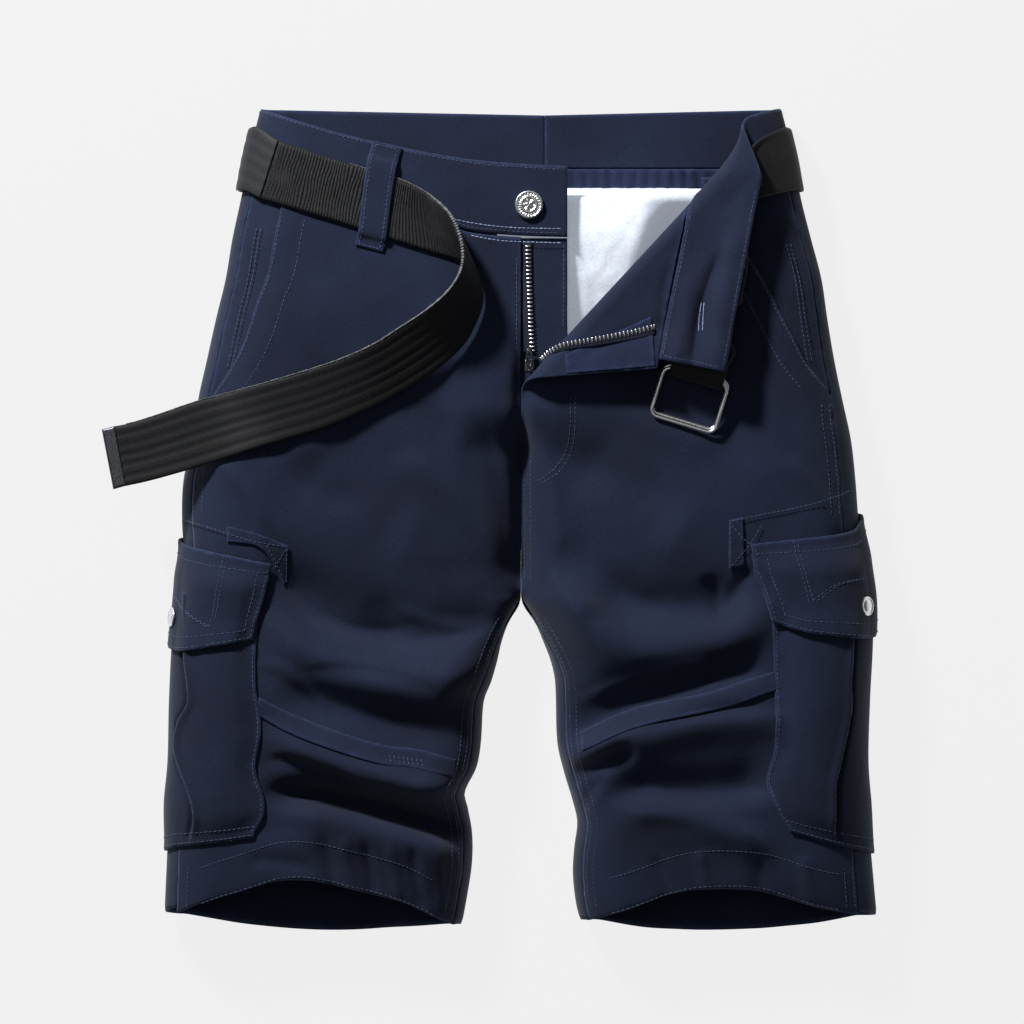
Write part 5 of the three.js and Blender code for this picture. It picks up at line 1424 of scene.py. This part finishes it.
def walk(point, lift, controls, pitch, flip=1):
    """Places at an even pitch along a smooth line of (u, v) controls on a piece."""
    keys = np.linspace(0, 1, len(controls))
    line = curve(keys, controls)(np.linspace(0, 1, 600))
    u, v = line[:, 0], line[:, 1]
    path = point(u, v)
    run = np.concatenate([[0], np.cumsum(np.linalg.norm(np.diff(path, axis=0), axis=1))])
    stops = np.arange(pitch * 0.6, run[-1] - pitch * 0.4, pitch)
    u, v = np.interp(stops, run, u), np.interp(stops, run, v)
    scale_u = 1e-3 if np.abs(line).max() <= 1.5 else 0.2
    at = point(u, v)
    normal = unit(np.cross(point(u + scale_u, v) - point(u - scale_u, v),
                           point(u, v + scale_u) - point(u, v - scale_u))) * flip
    ahead = unit(np.stack([np.interp(stops + 0.5, run, path[:, c])
                           - np.interp(stops - 0.5, run, path[:, c]) for c in range(3)], -1))
    off = lift(u, v) if callable(lift) else lift
    return at + normal * np.broadcast_to(off, u.shape)[:, None], ahead, normal


def located(point, pairs, reach=0.62):
    """The (u, v) of a piece nearest to places given in x and y."""
    u, v = np.meshgrid(np.linspace(0, reach, 240), np.linspace(0, 1, 160))
    grid = point(u, v)
    found = []
    for x, y in pairs:
        far = (grid[..., 0] - x) ** 2 + (grid[..., 1] - y) ** 2 - 1e-3 * grid[..., 2]
        k = np.unravel_index(np.argmin(far), far.shape)
        found.append((u[k], v[k]))
    return found


SEAMS = {"leg_left": [], "leg_right": [], "waist": []}
BRIGHT = []


def seam(group, point, lift, controls, pitch=3.1, flip=1):
    SEAMS[group].append(walk(point, lift, controls, pitch, flip))


def twice(group, point, lift, controls, apart, pitch=3.1, flip=1):
    """Two rows of stitching, the second set off across the line."""
    seam(group, point, lift, controls, pitch, flip)
    seam(group, point, lift, [(u + apart[0], v + apart[1]) for u, v in controls], pitch, flip)


# Hems, inseams and side seams
for group, half, hem_y in (("leg_left", left, left_hem), ("leg_right", right, right_hem)):
    across = np.linspace(0.06, 0.94, 14)
    y = hem_y(across) + HEM_DEPTH
    x = mix(half.outer(y) - half.side * 14, half.inner(y) + half.side * 13, across)
    seam(group, on_body, 0.05, list(zip(x, y)))
    edge_y = hem_y(across) + 2.2
    seam(group, on_body, 0.05, list(zip(x, edge_y)), 3.4)
    ys = np.linspace(CROTCH_Y - 12, -262, 16)
    seam(group, on_body, 0.05, [(half.inner(t) + half.side * (half.inseam_inset(t) * 0.5 + 3.2), t)
                                for t in ys])
    seam(group, on_body, 0.05, [(half.inner(t) + half.side * (half.inseam_inset(t) * 0.5 + 7.5), t)
                                for t in ys])
    for inset in (1.8, 7.5):
        ys = np.linspace(78, 2, 8)
        seam(group, half.skin, 0.05,
             [(half.along_top(half.side_seam(t) + inset), t) for t in ys], flip=-half.side)
        ys = np.linspace(-232, -262, 4)
        seam(group, half.skin, 0.05,
             [(half.along_top(half.side_seam(t) + inset), t) for t in ys], flip=-half.side)

# Slanted pocket mouths: two rows by the edge, and the facing's row further in
for group, half, first, last in (("leg_left", left, 84, 204), ("leg_right", right, 88, 196)):
    for inset in (2.0, 18.0):
        ys = np.linspace(first, last, 12)
        seam(group, on_body, 0.05,
             [(half.outer(t) - half.side * (half.mouth(t) + inset), t) for t in ys])
    ys = np.linspace(first + 18, last - 8, 8)
    for inset in (9.0, 12.0):
        seam(group, half.skin, -0.2,
             [(half.along_top(half.side_seam(t) + inset), t) for t in ys], flip=-half.side)

# Cargo pockets and flaps
for pocket, group, flap_seam, corner in (
        (POCKETS[0], "leg_left", [(-175, -22.5), (-176.7, -36), (-182.8, -71)],
         [(-183.5, -72), (-196, -63), (-206, -52)]),
        (POCKETS[1], "leg_right", [(201, -9), (205, -32), (211.5, -55.5)],
         [(212.5, -54.5), (228, -43), (246, -39)])):
    side = pocket["half"].side
    bag = wrap(pocket["half"], pocket["front"], pocket["head"], pocket["foot"])
    flap = wrap(pocket["half"], pocket["flap_front"], pocket["flap_head"], pocket["flap_foot"])

    def bag_lift(u, v, low=pocket["low"]):
        return low(u, v) + POCKET_CLOTH + 0.05

    def flap_lift(u, v):
        return flap_low(u, v) + FLAP_CLOTH + 0.05

    seam(group, bag, bag_lift, [(0.012, 0.02), (0.012, 0.5), (0.012, 0.98)], flip=side)
    seam(group, bag, bag_lift, [(0.01, 0.012), (0.4, 0.012), (0.95, 0.012)], flip=side)
    seam(group, bag, bag_lift, [(0.01, 0.05), (0.4, 0.05), (0.95, 0.05)], flip=side)
    seam(group, flap, flap_lift, [(0.01, 0.04), (0.3, 0.03), (0.7, 0.04)], flip=side)
    seam(group, flap, flap_lift, [(0.04, 0.14), (0.3, 0.13), (0.7, 0.13)], flip=side)
    seam(group, flap, flap_lift, [(0.012, 0.03), (0.012, 0.96)], flip=side)
    seam(group, flap, flap_lift, [(0.045, 0.12), (0.045, 0.85)], flip=side)
    seam(group, flap, flap_lift, [(0.01, 0.87), (0.35, 0.87), (0.7, 0.88)], flip=side)
    for line in (flap_seam, corner):
        controls = located(flap, line)
        twice(group, flap, flap_lift, controls, (0.012, 0), flip=side)

# Reinforcement bands with their boxed crosses
seam("leg_left", on_body, 1.75, [(-206, 0.5), (-184, -6), (-161, -13.5), (-137, -17.5)])
seam("leg_left", on_body, 1.75, [(-136, -18), (-137, -31), (-138, -42)])
seam("leg_left", on_body, 1.75, [(-137, -19), (-148, -36)])
seam("leg_left", on_body, 1.75, [(-150, -16), (-139, -40)])
seam("leg_right", on_body, 1.75, [(159.6, -1), (159.6, -32)])
seam("leg_right", on_body, 1.75, [(160, -1), (182, 4), (205, 8.5), (228, 15), (240, 20)])
seam("leg_right", on_body, 1.75, [(160, -3), (172, -16), (184, -26)])
seam("leg_right", on_body, 1.75, [(160, -31), (172, -17), (181, -2)])

# Knee tapes
tape = strip(KNEE_TAPE_LEFT, on_body)
seam("leg_left", tape, 1.85, [(0.02, 0.14), (0.5, 0.14), (0.66, 0.14)])
seam("leg_left", tape, 1.85, [(0.02, 0.86), (0.5, 0.86), (0.66, 0.86)])
seam("leg_left", tape, 1.85, [(0.6, 0.16), (0.6, 0.84)])
for v in (0.25, 0.5, 0.75):
    SEAMS["leg_left"].append(walk(tape, 1.85, [(0.64, v), (0.82, v)], 2.6))
tape = strip(KNEE_TAPE_RIGHT, on_body)
for v in (0.12, 0.3, 0.86):
    seam("leg_right", tape, 2.95, [(0.02, v), (0.5, v), (0.98, v)])
for v in (0.45, 0.62):
    seam("leg_right", tape, 2.95, [(0.1, v), (0.45, v)], 2.6)

# Darning of the left knee
for k in range(10):
    seam("leg_left", on_body, 0.6, [(-74 + 3 * k, -155.5 - 0.4 * k), (-72.6 + 3 * k, -161 - 0.4 * k)])

# Waistband, fly and belt loop
BRIGHT.append(walk(on_body, 0.05, [(-34, 204), (-21, 200.5), (0, 197), (20, 195.5), (49, 195)], 2.9))
BRIGHT.append(walk(on_body, 0.05, [(-14, 190.5), (4, 187.3), (20, 186.2), (48, 185.5)], 2.9))
seam("waist", waistband_left, 0.05, [(0.46, 0.05), (0.7, 0.05), (0.99, 0.05)])
seam("waist", waistband_left, 0.05, [(0.4, 0.95), (0.7, 0.95), (0.99, 0.95)])
seam("waist", on_body, 0.05, [(48.5, 185), (48.5, 160), (48, 128)])
seam("waist", on_body, 0.05, [(17, 176), (17, 140), (17, 112)])
seam("waist", on_body, 0.05, [(22.5, -40), (22.5, 10), (22.5, 44)])
seam("waist", on_body, 0.05, [(26.5, -40), (26.5, 10), (26.5, 44)])
seam("waist", on_body, 0.05, [(53, 83), (53, 62), (50, 46), (42, 34), (31, 26)])
seam("waist", on_body, 0.05, [(56, 83), (56, 60), (53, 44), (44, 31), (31, 23)])
lifted_band = -BAND_CLOTH - 0.05
for w in (2.4, 41.6):
    seam("waist", band_right, lifted_band, [(64, w), (90, w), (120, w), (184, w)], flip=-1)
seam("waist", band_right, lifted_band, [(184.5, 3), (184.5, 22), (184.5, 41)], flip=-1)
loop = strip([row[:4] for row in LOOP_FRONT], on_body)
for v in (0.14, 0.86):
    seam("waist", loop, lambda u, v: loop_lift(u) + 1.45, [(0.03, v), (0.5, v), (0.97, v)])
for u in (0.04, 0.96):
    seam("waist", loop, lambda u, v: loop_lift(u) + 1.45, [(u, 0.1), (u, 0.9)], 2.4)


def stitched(name, lines, material, slot="navy_twill"):
    places, along, out = (np.concatenate([line[k] for line in lines]) for k in range(3))
    return set_copies(name, places, along, out, stitch_form, (2.5, 0.62, 0.5), 0.12, 7, material,
                      "garment", slot)


for group, lines in SEAMS.items():
    stitched("stitching_" + group, lines, SEAM_THREAD)

# Zip teeth along the two open tapes, one each 2.7 mm
TOOTH_PITCH = 2.7
left_teeth = walk(on_body, -UNDERLAP_SINK + 1.9, [(24.6, 185), (25.4, 160), (26.4, 135), (27.6, 110)],
                  TOOTH_PITCH)
right_line = [(108.5, 128.5)] + TEETH_LINE[1:-1] + [(33.5, 107)]
over_lapel = landing(["cloth_front_right", "cloth_fly_facing", "cloth_zip_tape_right",
                      "cloth_waistband_right", "cloth_front_left"])
BRIGHT.append(walk(over_lapel, 0.3, [(138, 126), (138.4, 135), (139.6, 145)], 1.5))
BRIGHT.append(walk(over_lapel, 0.3, [(140.6, 126), (141, 135), (141.8, 145)], 1.5))
stitched("stitching_waist_seam", BRIGHT, PALE_THREAD)
right_teeth = walk(over_lapel, 0.4, right_line, TOOTH_PITCH)
teeth = [np.concatenate([left_teeth[k], right_teeth[k]]) for k in range(3)]
set_copies("zip_teeth", *teeth, tooth_form, (1.5, 3.6, 1.35), 0.03, 5, NICKEL, "garment", "bright_steel")

# Painted highlight along the strap's upper edge, where its lit thickness shows, made of pale grey
# stitch-shaped copies
edge_stops = np.arange(row_at[turn_row] - 30, row_at[-1] - 10, 1.6)
edge_line = belt_form(edge_stops)
edge_places = edge_line[:, -1] * 0.985 + edge_line[:, -2] * 0.015
edge_along = unit(np.gradient(edge_line[:, -1], axis=0))
edge_out = unit(edge_line[:, -1] - edge_line[:, -2])
set_copies("belt_selvedge", edge_places, edge_along, edge_out, stitch_form, (2.0, 2.3, 0.8), 0.15, 9,
           EDGE_HIGHLIGHT_THREAD, "garment", "black_webbing")

# Floor, light and camera
floor_mesh = bpy.data.meshes.new("floor")
floor_mesh.from_pydata([(-4, -4, -0.0006), (4, -4, -0.0006), (4, 4, -0.0006), (-4, 4, -0.0006)], [],
                       [(0, 1, 2, 3)])
floor = bpy.data.objects.new("floor", floor_mesh)
bpy.context.scene.collection.objects.link(floor)
paper = new_material("pale_paper")
paper_tree = paper.node_tree
matte = node(paper_tree, "ShaderNodeBsdfDiffuse", {"Color": linear("e8e8e8")})
glow = node(paper_tree, "ShaderNodeEmission", {"Color": linear("f5f5f5"), "Strength": 0.97})
mixed = node(paper_tree, "ShaderNodeMixShader", {0: 0.95, 1: matte.outputs[0], 2: glow.outputs[0]})
finish_material(paper_tree, mixed)
floor_mesh.materials.append(paper)


def area_light(name, place, aim, size, watts):
    data = bpy.data.lights.new(name, "AREA")
    data.shape = "DISK"
    data.size = size
    data.energy = watts
    lamp = bpy.data.objects.new(name, data)
    bpy.context.scene.collection.objects.link(lamp)
    lamp.location = place
    lamp.rotation_euler = (Vector(aim) - Vector(place)).to_track_quat("-Z", "Y").to_euler()


area_light("key_upper_left", (-1.05, 1.75, 1.2), (0, 0, 0), 0.3, 76)
area_light("fill_overhead", (-0.3, 0.3, 2.6), (0, 0, 0), 1.2, 4)
world = bpy.data.worlds.new("studio")
bpy.context.scene.world = world
world.use_nodes = True
world.node_tree.nodes["Background"].inputs[0].default_value = (0.95, 0.97, 1.0, 1)
world.node_tree.nodes["Background"].inputs[1].default_value = 0.1

CAMERA_HIGH = 3.0
CLOTH_LEVEL = 0.03
FIELD = 0.688128
camera_data = bpy.data.cameras.new("camera")
camera_data.lens = camera_data.sensor_width * (CAMERA_HIGH - CLOTH_LEVEL) / FIELD
camera = bpy.data.objects.new("camera", camera_data)
bpy.context.scene.collection.objects.link(camera)
camera.location = (0.01266, 0.00544, CAMERA_HIGH)
bpy.context.scene.camera = camera
bpy.context.scene.view_settings.view_transform = "Standard"
